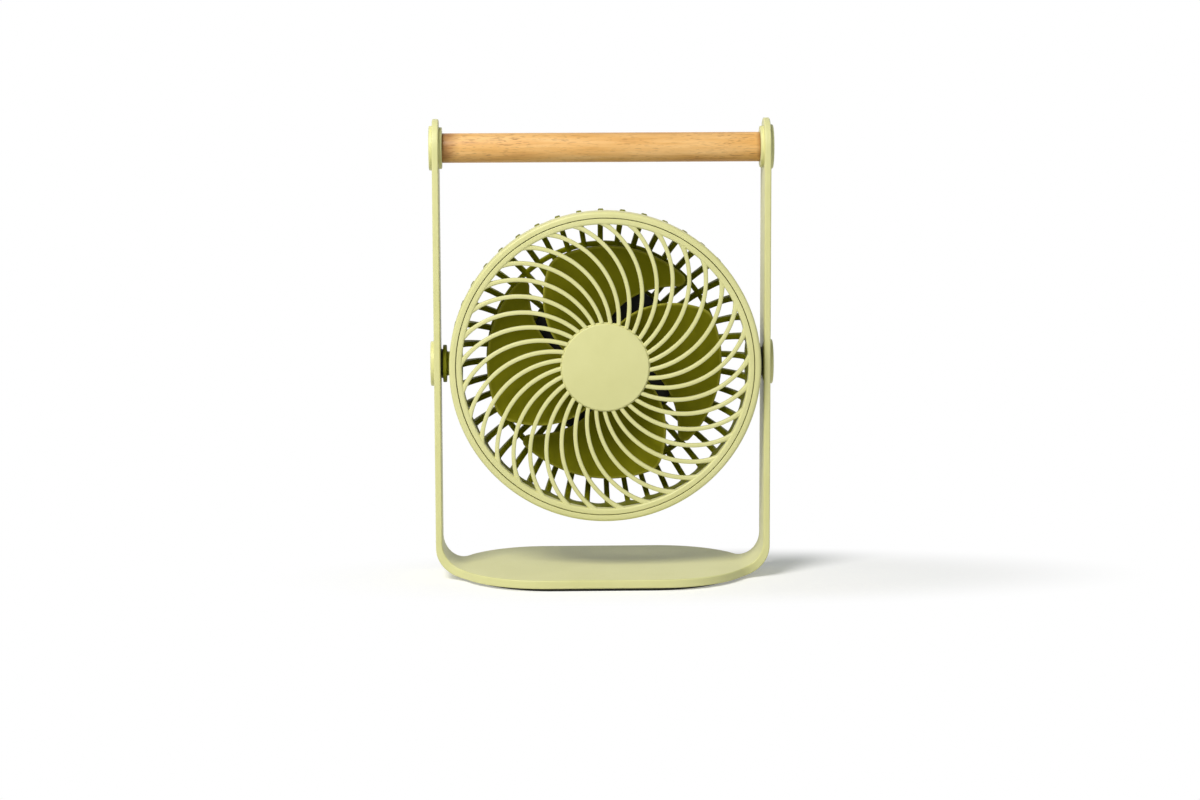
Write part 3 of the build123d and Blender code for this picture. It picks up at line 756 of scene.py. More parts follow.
# Finishes


@dataclass(frozen=True)
class Pattern:
    """Noise of a finish.

    scale is the spots in a metre, detail the layers of finer noise and stretch how much denser
    the noise is along each axis. start and end are the noise values that are drawn out to a
    range.
    """

    scale: float
    detail: float = 2.0
    start: float = 0.0
    end: float = 1.0
    stretch: Triple = (1.0, 1.0, 1.0)


class Surface(NodeBench):
    """Material in the making: object coordinates, noises and the shader's sockets."""

    noise_roughness = 0.55

    def __init__(self, finish: Finish) -> None:
        """Starts a material with one shader.

        Args:
            finish: the finish that it is named for.
        """
        self.material = bpy.data.materials.new("finish_" + finish.value)
        self.material.use_nodes = True
        super().__init__(self.material.node_tree)
        self.shader = self.tree.nodes["Principled BSDF"]
        self.place = self.add("ShaderNodeTexCoord").outputs["Object"]

    def noise(self, pattern: Pattern) -> Socket:
        """Adds a noise on object coordinates.

        Args:
            pattern: the noise's sizes.

        Returns:
            The noise value.
        """
        inputs = {"Vector": self.place, "Scale": pattern.stretch}
        mapped = self.add("ShaderNodeMapping", inputs).outputs[0]
        inputs = {"Vector": mapped, "Scale": pattern.scale, "Detail": pattern.detail,
                  "Roughness": self.noise_roughness}
        return self.add("ShaderNodeTexNoise", inputs).outputs["Fac"]

    def drawn(self, pattern: Pattern, low: float = 0.0, high: float = 1.0) -> Socket:
        """Adds a noise and draws its values from start to end out to those from low to high."""
        return self.spread(self.noise(pattern), low, high, pattern.start, pattern.end)

    def paint(self, colour: Socket, roughness: Socket) -> None:
        """Joins the colour and the roughness to the shader."""
        self.feed(self.shader.inputs["Base Color"], colour)
        self.feed(self.shader.inputs["Roughness"], roughness)

    def set(self, **values: Any) -> None:
        """Sets the shader's sockets to plain values, with underscores for spaces in names."""
        for label, value in values.items():
            self.shader.inputs[label.replace("_", " ")].default_value = value

    def bump(self, height: Socket, strength: float, distance: float) -> None:
        """Adds a bump, its strength a share and its distance the depth in millimetres."""
        inputs = {"Height": height, "Strength": strength, "Distance": distance * MM}
        self.feed(self.shader.inputs["Normal"], self.add("ShaderNodeBump", inputs).outputs[0])


@dataclass(frozen=True)
class MouldedPlastic:
    """Plastic from a mould with a fine spark eroded grain.

    face and shade are the display colours that the slow drift of colour moves between. sheen
    tints the shine, and a painted highlight colour can be laid on thin edges that are marked on the
    mesh.
    """

    finish: Finish
    face: Colour
    shade: Colour
    roughness: float
    gloss: float
    grain: float
    sheen: Colour = WHITE
    lip: Colour | None = None
    highlight_share: float = 0.85
    highlight_range: Pair = (0.2, 0.8)
    shade_at: float = 0.2
    face_at: float = 0.8
    flow_share: float = 0.35
    speck_roughness: float = 0.07
    grain_depth: float = 0.05
    drift: Pattern = Pattern(26.0, 3.0, 0.32, 0.68)
    flow: Pattern = Pattern(140.0)
    specks: Pattern = Pattern(900.0, 2.0, 0.3, 0.7)
    pores: Pattern = Pattern(2600.0, 1.0)

    def material(self) -> Material:
        """Builds the finish.

        Returns:
            The material.
        """
        made = Surface(self.finish)
        slow = made.math("MULTIPLY", made.drawn(self.drift), 1 - self.flow_share)
        mix = made.math("MULTIPLY_ADD", made.noise(self.flow), self.flow_share, slow)
        colour = made.ramp(mix, (self.shade_at, self.shade), (self.face_at, self.face))
        # Painted highlight: the marked edges are blended towards a lighter colour
        if self.lip:
            near = made.add("ShaderNodeAttribute", attribute_name=HIGHLIGHT_MARK).outputs["Fac"]
            share = made.spread(near, 0.0, self.highlight_share, *self.highlight_range)
            colour = made.blend(share, colour, tone(self.lip))
        low, high = self.roughness - self.speck_roughness, self.roughness + self.speck_roughness
        made.paint(colour, made.drawn(self.specks, low, high))
        made.bump(made.noise(self.pores), self.grain, self.grain_depth)
        made.set(Specular_IOR_Level=self.gloss, Specular_Tint=tone(self.sheen))
        return made.material


@dataclass(frozen=True)
class OiledBeech:
    """Turned beech with short dark flecks along the grain and a thin coat of oil.

    The bar lies along X, so each noise is stretched that way. Painted shade darkens both ends of
    the bar, over more of its length on the left, where the arm and its disc shade it.
    """

    finish: Finish = Finish.BEECH
    dark: Stop = (0.36, (194, 138, 70))
    warm: Stop = (0.48, (226, 173, 100))
    pale: Stop = (0.62, (240, 194, 128))
    fleck: Colour = (142, 92, 44)
    half_length: float = BAR_HALF_LENGTH
    # Painted shade at the bar's ends: its length on each side and its strength
    shade_left: float = 8.0
    shade_right: float = 2.5
    shade_share: float = 0.75
    ragged: float = 3.75
    fibre_share: float = 0.45
    cloud_range: Pair = (0.25, 0.75)
    roughness: Pair = (0.42, 0.6)
    grain: float = 0.18
    grain_depth: float = 0.06
    rings: Pattern = Pattern(60.0, 4.0, stretch=(0.10, 1.0, 1.0))
    fibres: Pattern = Pattern(420.0, 3.0, 0.3, 0.7, (0.06, 1.0, 1.0))
    flecks: Pattern = Pattern(1900.0, 1.0, 0.57, 0.68, (0.11, 1.0, 1.0))
    clouds: Pattern = Pattern(45.0, 2.0, 0.4, 0.6, (0.5, 1.0, 1.0))

    def ends(self, made: Surface, colour: Socket, rings: Socket) -> Socket:
        """Paints shade on the ends of the bar, as a darker colour.

        Args:
            made: the material.
            colour: the wood's colour.
            rings: the noise that makes the painted shade's edge ragged.

        Returns:
            The colour with painted shade on its ends.
        """
        across = made.add("ShaderNodeSeparateXYZ", {0: made.place}).outputs["X"]
        # Painted shade: the fleck colour is blended over each end of the bar
        for side, length in ((Side.LEFT, self.shade_left), (Side.RIGHT, self.shade_right)):
            wave = made.math("SUBTRACT", rings, NOISE_MIDDLE)
            edge = made.math("MULTIPLY", wave, self.ragged * length * MM)
            reach = made.math("MULTIPLY_ADD", across, side.value, edge)
            start, end = (self.half_length - length) * MM, self.half_length * MM
            share = made.spread(reach, 0.0, self.shade_share, start, end)
            colour = made.blend(share, colour, tone(self.fleck))
        return colour

    def material(self) -> Material:
        """Builds the finish.

        Returns:
            The material.
        """
        made = Surface(self.finish)
        rings, fibre = made.noise(self.rings), made.noise(self.fibres)
        slow = made.math("MULTIPLY", rings, 1 - self.fibre_share)
        body = made.math("MULTIPLY_ADD", fibre, self.fibre_share, slow)
        wood = made.ramp(body, self.dark, self.warm, self.pale)
        fleck, cloud = made.drawn(self.flecks), made.drawn(self.clouds, *self.cloud_range)
        flecked = made.blend(made.math("MULTIPLY", fleck, cloud), wood, tone(self.fleck))
        rough = made.spread(fibre, *self.roughness, self.fibres.start, self.fibres.end)
        made.paint(self.ends(made, flecked, rings), rough)
        made.bump(made.math("ADD", fibre, fleck), self.grain, self.grain_depth)
        made.set(Specular_IOR_Level=0.3, Coat_Weight=0.08, Coat_Roughness=0.35)
        return made.material


@dataclass(frozen=True)
class PadRubber:
    """Soft dark rubber with a dusty bloom."""

    finish: Finish = Finish.RUBBER
    dark: Colour = (38, 38, 34)
    dusty: Colour = (58, 58, 52)
    roughness: Pair = (0.7, 0.9)
    grain: float = 0.3
    grain_depth: float = 0.08
    bloom: Pattern = Pattern(90.0, 4.0, 0.35, 0.7)
    pores: Pattern = Pattern(1800.0)

    def material(self) -> Material:
        """Builds the finish.

        Returns:
            The material.
        """
        made = Surface(self.finish)
        bloom = made.drawn(self.bloom)
        colour = made.ramp(bloom, (0.0, self.dark), (1.0, self.dusty))
        made.paint(colour, made.spread(bloom, *self.roughness))
        made.bump(made.noise(self.pores), self.grain, self.grain_depth)
        made.set(Specular_IOR_Level=0.25)
        return made.material


DRAWN_LINES = Pattern(3000.0, 2.0, 0.3, 0.7, (1.0, 1.0, 0.1))
WOUND_LINES = Pattern(3000.0, 2.0, 0.3, 0.7, (1.0, 0.2, 1.0))


@dataclass(frozen=True)
class Metal:
    """Bare metal with fine lines and stains."""

    finish: Finish
    bright: Colour
    dull: Colour
    roughness: float = 0.32
    lines: Pattern = DRAWN_LINES
    line_strength: float = 0.08
    line_depth: float = 0.02
    smoother: float = 0.1
    rougher: float = 0.12
    stains: Pattern = Pattern(240.0, 3.0, 0.35, 0.7)

    def material(self) -> Material:
        """Builds the finish.

        Returns:
            The material.
        """
        made = Surface(self.finish)
        stain, line = made.drawn(self.stains), made.noise(self.lines)
        low, high = self.roughness - self.smoother, self.roughness + self.rougher
        rough = made.spread(line, low, high, self.lines.start, self.lines.end)
        made.paint(made.ramp(stain, (0.0, self.bright), (1.0, self.dull)), rough)
        made.bump(line, self.line_strength, self.line_depth)
        made.set(Metallic=1.0)
        return made.material


@dataclass(frozen=True)
class PrintedFilm:
    """Smooth film or lacquer over something flat, with faint waves below it."""

    finish: Finish
    face: Colour
    shade: Colour
    roughness: float = 0.3
    smoother: float = 0.06
    rougher: float = 0.1
    ripple_strength: float = 0.1
    ripple_depth: float = 0.05
    waves: Pattern = Pattern(160.0, 3.0, 0.3, 0.7)
    ripples: Pattern = Pattern(420.0)

    def material(self) -> Material:
        """Builds the finish.

        Returns:
            The material.
        """
        made = Surface(self.finish)
        wave = made.drawn(self.waves)
        rough = made.spread(wave, self.roughness - self.smoother, self.roughness + self.rougher)
        made.paint(made.ramp(wave, (0.0, self.face), (1.0, self.shade)), rough)
        made.bump(made.noise(self.ripples), self.ripple_strength, self.ripple_depth)
        made.set(Coat_Weight=0.15, Coat_Roughness=0.2)
        return made.material


@dataclass(frozen=True)
class FrostedLens:
    """Milky light pipe that lets a little light through."""

    finish: Finish = Finish.LENS
    face: Stop = (0.3, (226, 230, 222))
    shade: Stop = (0.7, (196, 204, 194))
    roughness: Pair = (0.12, 0.28)
    clouds: Pattern = Pattern(800.0, 2.0, 0.3, 0.7)

    def material(self) -> Material:
        """Builds the finish.

        Returns:
            The material.
        """
        made = Surface(self.finish)
        cloud = made.noise(self.clouds)
        rough = made.spread(cloud, *self.roughness, self.clouds.start, self.clouds.end)
        made.paint(made.ramp(cloud, self.face, self.shade), rough)
        made.set(Transmission_Weight=0.35, IOR=1.49)
        return made.material


FINISHES = (
    MouldedPlastic(Finish.PISTACHIO, (221, 219, 155), (215, 213, 147),
                   roughness=0.43, gloss=0.48, grain=0.10),
    MouldedPlastic(Finish.OLIVE, (130, 132, 16), (118, 120, 10),
                   roughness=0.60, gloss=0.08, grain=0.12, sheen=(200, 200, 60)),
    # The wheel's blade edges carry a painted highlight colour
    MouldedPlastic(Finish.WHEEL, (130, 128, 24), (118, 117, 16),
                   roughness=0.50, gloss=0.12, grain=0.08, sheen=(200, 198, 80),
                   lip=(176, 172, 66)),
    # The trunnions' olive, made lighter and glossier as painted light for their shaded place
    MouldedPlastic(Finish.TRUNNION, (150, 152, 44), (140, 142, 36),
                   roughness=0.50, gloss=0.20, grain=0.12, sheen=(220, 220, 120)),
    MouldedPlastic(Finish.BLACK, (26, 26, 24), (18, 18, 17),
                   roughness=0.50, gloss=0.30, grain=0.20),
    MouldedPlastic(Finish.BUSH, (52, 50, 20), (40, 39, 14),
                   roughness=0.50, gloss=0.25, grain=0.12),
    MouldedPlastic(Finish.FERRITE, (52, 51, 50), (36, 36, 36),
                   roughness=0.70, gloss=0.30, grain=0.30),
    PadRubber(),
    OiledBeech(),
    Metal(Finish.STEEL, (196, 197, 198), (160, 161, 160)),
    Metal(Finish.COPPER, (208, 122, 76), (170, 92, 54), 0.3, WOUND_LINES),
    Metal(Finish.BRONZE, (178, 136, 78), (140, 104, 58), 0.4),
    PrintedFilm(Finish.WRAP, (40, 70, 104), (30, 56, 88)),
    PrintedFilm(Finish.BOARD, (20, 86, 52), (14, 66, 42), 0.35),
    FrostedLens(),
)

# CAD nodes that stay as they are, in their finishes
KEPT_NODES = {
    "handle_screws": Finish.STEEL,
    "pivot_screws": Finish.STEEL,
    "spring_washers": Finish.STEEL,
    "stator_core": Finish.STEEL,
    "board_screws": Finish.STEEL,
    "charging_socket": Finish.STEEL,
    "motor_shaft": Finish.STEEL,
    "shaft_clip": Finish.STEEL,
    "rotor_yoke": Finish.STEEL,
    "stator_coils": Finish.COPPER,
    "bearing_front": Finish.BRONZE,
    "bearing_rear": Finish.BRONZE,
    "rotor_magnet": Finish.FERRITE,
    "battery_pack": Finish.WRAP,
    "battery_tray": Finish.BLACK,
    "tact_switch": Finish.BLACK,
    "circuit_board": Finish.BOARD,
}


class Wardrobe:
    """Every finish of the fan, each built once."""

    def __init__(self) -> None:
        """Builds the materials."""
        self.made: dict[Finish, Material] = {kind.finish: kind.material() for kind in FINISHES}

    def paint(self, node: str, finish: Finish) -> None:
        """Gives a node that stays its finish.

        Args:
            node: name of the node.
            finish: its finish.
        """
        for place in frame["nodes"][node].material_slots:
            place.material = self.made[finish]
        log.info("%s: kept, in %s", node, finish.value)


# Sub-assemblies


@dataclass
class Workbench:
    """Place where pieces are turned and get their finishes."""

    finishes: Wardrobe

    def lathe(self, name: str, finish: Finish, profile: Sequence[Pair], axle: Axle,
              steps: int = ROUND_STEPS) -> Piece:
        """Turns a profile about an axle into a piece of one finish."""
        return turned(profile, axle, steps).piece(name, self.finishes.made[finish])


@dataclass
class SubAssembly(Workbench):
    """Part of the fan whose sizes are fields and whose pieces are built and dressed together."""

    def build(self) -> None:
        """Makes the pieces and puts them on their bodies."""
        raise NotImplementedError

    def dress(self, piece: Piece, finish: Finish, body: Body, node: str) -> None:
        """Puts a finished piece on its body in place of its node.

        Args:
            piece: the finished object.
            finish: its finish, which is not used.
            body: the body that it moves with.
            node: the node that it stands for.
        """
        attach(piece, body.value)
        finish.slot
        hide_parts(node)
        log.info("%s: %d faces, on %s", piece.name, len(piece.data.polygons), body.value)


@dataclass
class Stand(SubAssembly):
    """Band bent into an oval base and two arms, with a rubber pad below."""

    arm_inner: float = ARM_INNER
    arm_outer: float = ARM_OUTER
    arm_width: float = 33.5
    base_low: float = 1.6
    base_top: float = 6.6
    outer_bend: float = 17.5
    inner_bend: float = 15.0
    oval_half: float = 85.5
    oval_radius: float = 52.5
    blend_gap: float = 1.0
    bar_height: float = BAR_HEIGHT
    pivot_height: float = PIVOT_HEIGHT
    hole_radius: float = 6.52
    hole_steps: int = 48
    edge: float = 0.8
    pad_length: float = 156.8
    pad_width: float = 102.2
    pad_edge: float = 0.5
    pad_steps: int = 40
    flat_steps: int = 14
    bend_steps: int = 20
    tip_steps: int = 41

    def half_width(self, across: float) -> float:
        """Half the band's width at a place across the fan.

        Args:
            across: distance from the middle of the stand.

        Returns:
            Half the width there, from the oval, its blend into the arm, or the arm.
        """
        across = abs(across)
        arm = self.arm_width / 2
        centre = self.oval_half - self.oval_radius
        reach = self.arm_inner - self.blend_gap - centre
        blend = (reach ** 2 - self.oval_radius ** 2 + arm ** 2) / (2 * (self.oval_radius - arm))
        touch = centre + reach * self.oval_radius / (self.oval_radius + blend)
        if across <= centre:
            return self.oval_radius
        if across <= touch:
            return math.sqrt(self.oval_radius ** 2 - (across - centre) ** 2)
        if across < centre + reach:
            return arm + blend - math.sqrt(blend ** 2 - (across - centre - reach) ** 2)
        return arm

    def right_half(self) -> list[tuple[Triple, Triple]]:
        """Lays out the band from the middle of the base to the foot of the right arm.

        Returns:
            For each station the outer and the inner line: place across, height and half width.
        """
        outer_flat = self.arm_outer - self.outer_bend
        inner_flat = self.arm_inner - self.inner_bend
        centre = self.oval_half - self.oval_radius
        steepest = math.asin((outer_flat - centre) / self.oval_radius)
        across = [0.0, centre / 2]
        for step in range(self.flat_steps + 1):
            lean = steepest * step / self.flat_steps
            across.append(centre + self.oval_radius * math.sin(lean))
        pairs = [((x, self.base_low), (x * inner_flat / outer_flat, self.base_top)) for x in across]
        bends = []
        for flat, low, bend in ((outer_flat, self.base_low, self.outer_bend),
                                (inner_flat, self.base_top, self.inner_bend)):
            bends.append(arc((flat, low + bend), bend, -90, 0, self.bend_steps))
        pairs += list(zip(*bends))[1:]
        return [((*o, self.half_width(o[0])), (*i, self.half_width(i[0]))) for o, i in pairs]

    def arm(self, side: Side) -> Shell:
        """Makes one arm, flat on both faces, from its foot to its round tip.

        Args:
            side: the side of the stand.

        Returns:
            The arm's shell, open at the foot.
        """
        half = self.arm_width / 2
        tip = arc((0, self.bar_height), half, 180, 0, self.tip_steps)
        shell = Shell()
        rows = []
        for across, foot in ((self.arm_outer, self.base_low + self.outer_bend),
                             (self.arm_inner, self.base_top + self.inner_bend)):
            outline = [(-half, foot)] + tip + [(half, foot)]
            start = len(shell.points)
            shell.points += [Vector((side.value * across, y, z)) * MM for y, z in outline]
            rows.append(list(range(start, len(shell.points))))
        shell.faces += [tuple(row) for row in rows]
        for outer, inner in zip(zip(rows[0], rows[0][1:]), zip(rows[1], rows[1][1:])):
            shell.faces.append((outer[0], outer[1], inner[1], inner[0]))
        return shell

    def band(self) -> Piece:
        """Makes the band with rounded edges and the holes of the pivot.

        Returns:
            The band.
        """
        half = self.right_half()
        stations = [(outer, inner, -1) for outer, inner in reversed(half[1:])]
        stations += [(outer, inner, 1) for outer, inner in half]
        loops = []
        for outer, inner, hand in stations:
            corners = ((outer, -1), (outer, 1), (inner, 1), (inner, -1))
            loops.append([Vector((hand * p[0], s * p[2], p[1])) * MM for p, s in corners])
        shell = skin(loops)
        for side in Side:
            shell.join(self.arm(side))
        piece = shell.piece("stand.band", self.finishes.made[Finish.PISTACHIO])
        low, high = self.arm_inner - self.arm_width, self.arm_outer + CUT_PAST
        hole = disc_profile(self.hole_radius, low, high)
        cutters = []
        for side in Side:
            axle = side_axle(side, self.pivot_height)
            cutters.append(self.lathe("cutter", Finish.PISTACHIO, hole, axle, self.hole_steps))
        return carved(softened(piece, self.edge), cutters)

    def pad(self) -> Piece:
        """Makes the rubber pad.

        Returns:
            The pad.
        """
        radius = self.pad_width / 2
        centre = self.pad_length / 2 - radius
        outline = arc((centre, 0), radius, -90, 90, self.pad_steps)
        outline += arc((-centre, 0), radius, 90, 270, self.pad_steps)
        shell = plate(outline, 0, self.base_low, self.pad_edge,
                      lambda x, y, z: Vector((x, y, z)) * MM)
        return shell.piece("stand.pad", self.finishes.made[Finish.RUBBER])

    def build(self) -> None:
        """Makes the band and the pad."""
        self.dress(self.band(), Finish.PISTACHIO, Body.STAND, "stand_band")
        self.dress(self.pad(), Finish.RUBBER, Body.STAND, "base_pad")


@dataclass
class CarryingBar(SubAssembly):
    """Turned wooden bar with a disc at each end and a cap outside each arm."""

    height: float = BAR_HEIGHT
    radius: float = 8.5
    half_length: float = BAR_HALF_LENGTH
    chamfer: float = 0.5
    washer_radius: float = 12.0
    washer_edge: float = 0.5
    arm_inner: float = ARM_INNER
    arm_outer: float = ARM_OUTER
    cap_radius: float = 12.85
    cap_thickness: float = 2.0
    cap_edge: float = 0.7

    def build(self) -> None:
        """Makes the bar, its discs and its caps."""
        end = self.half_length
        profile = disc_profile(self.radius, -end, end, self.chamfer, self.chamfer)
        bar = self.lathe("bar.dowel", Finish.BEECH, profile, side_axle(Side.RIGHT, self.height))
        self.dress(bar, Finish.BEECH, Body.STAND, "handle_bar")
        washer = disc_profile(self.washer_radius, end, self.arm_inner, self.washer_edge)
        outside = self.arm_outer + self.cap_thickness
        cap = disc_profile(self.cap_radius, self.arm_outer, outside, high_edge=self.cap_edge)
        for side in Side:
            axle = side_axle(side, self.height)
            for name, node, shape in (("disc", "washer", washer), ("cap", "cap", cap)):
                piece = self.lathe(f"bar.{name}.{side.word}", Finish.PISTACHIO, shape, axle)
                self.dress(piece, Finish.PISTACHIO, Body.STAND, f"handle_{node}_{side.word}")


@dataclass
class TiltPivot(SubAssembly):
    """Trunnions of the head in the bushes of the arms, with a cap outside each arm."""

    height: float = PIVOT_HEIGHT
    head_offset: float = 1.5
    boss_face: float = BOSS_FACE
    neck_radius: float = 7.0
    neck_fillet: float = 0.8
    flange_radius: float = 10.9
    flange_inner: float = 90.1
    flange_outer: float = 92.3
    flange_edge: float = 0.5
    spigot_radius: float = 4.6
    spigot_length: float = 2.6
    journal_radius: float = 4.2
    journal_end: float = 95.3
    screw_hole: float = 2.15
    bush_radius: float = 6.5
    bush_end: float = 95.2
    bush_bore: float = 4.25
    bush_flange_radius: float = 8.5
    bush_flange_inner: float = 92.4
    bush_edge: float = 0.3
    arm_inner: float = ARM_INNER
    arm_outer: float = ARM_OUTER
    cap_radius: float = 13.0
    cap_thickness: float = 2.2
    cap_edge: float = 0.7

    def trunnion(self, side: Side) -> list[Pair]:
        """Profile of one trunnion: spigot, neck, flange and journal.

        Args:
            side: the side of the fan, because the head sits a little to the right.

        Returns:
            The profile for turning.
        """
        face = self.boss_face + side.value * self.head_offset
        fillet = min(self.neck_fillet, (self.flange_inner - face) / 2)
        return rounded([
            (self.screw_hole, face - self.spigot_length, 0),
            (self.spigot_radius, face - self.spigot_length, 0),
            (self.spigot_radius, face, 0),
            (self.neck_radius, face, 0),
            (self.neck_radius, self.flange_inner, fillet),
            (self.flange_radius, self.flange_inner, self.flange_edge),
            (self.flange_radius, self.flange_outer, self.flange_edge),
            (self.journal_radius, self.flange_outer, 0),
            (self.journal_radius, self.journal_end, 0),
            (self.screw_hole, self.journal_end, 0),
        ])

    def bush(self) -> list[Pair]:
        """Profile of a flanged bush.

        Returns:
            The profile for turning.
        """
        return rounded([
            (self.bush_bore, self.bush_flange_inner, 0),
            (self.bush_flange_radius, self.bush_flange_inner, self.bush_edge),
            (self.bush_flange_radius, self.arm_inner, 0),
            (self.bush_radius, self.arm_inner, 0),
            (self.bush_radius, self.bush_end, 0),
            (self.bush_bore, self.bush_end, 0),
        ])

    def build(self) -> None:
        """Makes the pieces of both pivots."""
        outside = self.arm_outer + self.cap_thickness
        cap = disc_profile(self.cap_radius, self.arm_outer, outside, high_edge=self.cap_edge)
        for side in Side:
            for name, node, profile, finish, body in (
                # The trunnions take the lighter copy of the olive, which is painted light
                ("trunnion", "trunnion", self.trunnion(side), Finish.TRUNNION, Body.HEAD),
                ("bush", "pivot_bush", self.bush(), Finish.BUSH, Body.STAND),
                ("cap", "pivot_cap", cap, Finish.PISTACHIO, Body.STAND),
            ):
                axle = side_axle(side, self.height)
                piece = self.lathe(f"pivot.{name}.{side.word}", finish, profile, axle)
                self.dress(piece, finish, body, f"{node}_{side.word}")


@dataclass
class FrontGrille(SubAssembly):
    """Bezel, grille of curved ribs and the plain disc in its middle."""

    bezel_radius: float = RING_RADIUS
    bezel_inner: float = 86.4
    bezel_edge: float = 1.6
    seam_edge: float = 0.3
    front: float = -23.5
    seat: float = RIM_SEAT
    skirt_inner: float = 87.92
    skirt_back: float = -12.0
    skirt_edge: float = 0.4
    rim_outer: float = 85.95
    rim_inner: float = 82.6
    rim_front: float = -23.2
    rim_edge: float = 1.2
    hub_radius: float = 25.9
    hub_front: float = -21.2
    hub_back: float = -18.9
    hub_front_edge: float = 0.3
    hub_back_edge: float = 0.5
    peg_hole: float = 5.02
    rib_count: int = 33
    rib_width: float = 2.4
    rib_depth: float = 3.0
    rib_front: float = -22.2
    rib_edge: float = 0.75
    rib_flare: float = 0.55
    rib_reach: float = 0.16
    rib_start: float = 25.4
    rib_end: float = 84.275
    rib_hub_lean: float = 12.9
    rib_rim_lean: float = 56.83
    rib_phase: float = 80.6
    cap_radius: float = 25.3
    cap_front: float = -23.0
    cap_edge: float = 0.7
    cap_peg: float = 5.0
    edge_steps: int = 6

    def bezel(self) -> list[Pair]:
        """Profile of the bezel with its skirt.

        Returns:
            The profile for turning.
        """
        return rounded([
            (self.bezel_inner, self.front, self.seam_edge),
            (self.bezel_radius, self.front, self.bezel_edge),
            (self.bezel_radius, self.skirt_back, self.skirt_edge),
            (self.skirt_inner, self.skirt_back, self.skirt_edge),
            (self.skirt_inner, self.seat, 0),
            (self.bezel_inner, self.seat, 0),
        ], self.edge_steps)

    def rim(self) -> list[Pair]:
        """Profile of the grille's rim.

        Returns:
            The profile for turning.
        """
        return rounded([
            (self.rim_inner, self.rim_front, self.rim_edge),
            (self.rim_outer, self.rim_front, self.seam_edge),
            (self.rim_outer, self.seat, 0),
            (self.rim_inner, self.seat, self.skirt_edge),
        ], self.edge_steps)

    def hub(self) -> list[Pair]:
        """Profile of the grille's hub, which the middle disc sits on.

        Returns:
            The profile for turning.
        """
        return rounded([
            (self.peg_hole, self.hub_front, 0),
            (self.hub_radius, self.hub_front, self.hub_front_edge),
            (self.hub_radius, self.hub_back, self.hub_back_edge),
            (self.peg_hole, self.hub_back, 0),
        ])

    def disc(self) -> list[Pair]:
        """Profile of the middle disc with its peg.

        Returns:
            The profile for turning.
        """
        return rounded([
            (0, self.cap_front, 0),
            (self.cap_radius, self.cap_front, self.cap_edge),
            (self.cap_radius, self.hub_front, 0),
            (self.cap_peg, self.hub_front, 0),
            (self.cap_peg, self.hub_back, 0),
            (0, self.hub_back, 0),
        ], self.edge_steps)

    def rib_place(self, radius: float) -> Vector:
        """Finds the middle line of the first rib.

        Args:
            radius: distance from the fan axis.

        Returns:
            The point of the rib's arc at that radius, in metres.
        """
        start = self.rib_start * math.sin(math.radians(self.rib_hub_lean))
        end = self.rib_end * math.sin(math.radians(self.rib_rim_lean))
        bend = (self.rib_end ** 2 - self.rib_start ** 2) / (2 * (end - start))
        away = math.sqrt(bend ** 2 + self.rib_start ** 2 - 2 * bend * start)
        open_angle = math.acos((radius ** 2 + away ** 2 - bend ** 2) / (2 * radius * away))
        angle = math.radians(self.rib_phase) - open_angle
        return fan_axle().point(radius, self.rib_front + self.rib_depth / 2, angle)

    def ribs(self) -> Piece:
        """Makes the ring of curved ribs.

        Returns:
            The ribs in one object.
        """
        host = Shell().piece("grille.ribs", self.finishes.made[Finish.PISTACHIO])
        RibRing().run(
            host, self.rib_count, 0.0,
            Start=self.rib_place(self.rib_start),
            Middle=self.rib_place((self.rib_start + self.rib_end) / 2),
            End=self.rib_place(self.rib_end),
            Width=self.rib_width * MM,
            Depth=self.rib_depth * MM,
            Edge=self.rib_edge * MM,
            Flare=self.rib_flare,
            Reach=self.rib_reach,
        )
        close_up(host.data)
        smooth(host.data, SOFT_CREASE)
        return host

    def build(self) -> None:
        """Makes the bezel, the grille and its middle disc."""
        axle = fan_axle()
        plastic = Finish.PISTACHIO
        bezel = self.lathe("front.bezel", plastic, self.bezel(), axle, RING_STEPS)
        self.dress(bezel, plastic, Body.HEAD, "front_bezel")
        rim = self.lathe("grille.rim", plastic, self.rim(), axle, RING_STEPS)
        hub = self.lathe("grille.hub", plastic, self.hub(), axle)
        grille = merged("front.grille", [rim, hub, self.ribs()])
        self.dress(grille, plastic, Body.HEAD, "front_grille")
        disc = self.lathe("front.disc", plastic, self.disc(), axle, DISC_STEPS)
        self.dress(disc, plastic, Body.HEAD, "centre_cap")


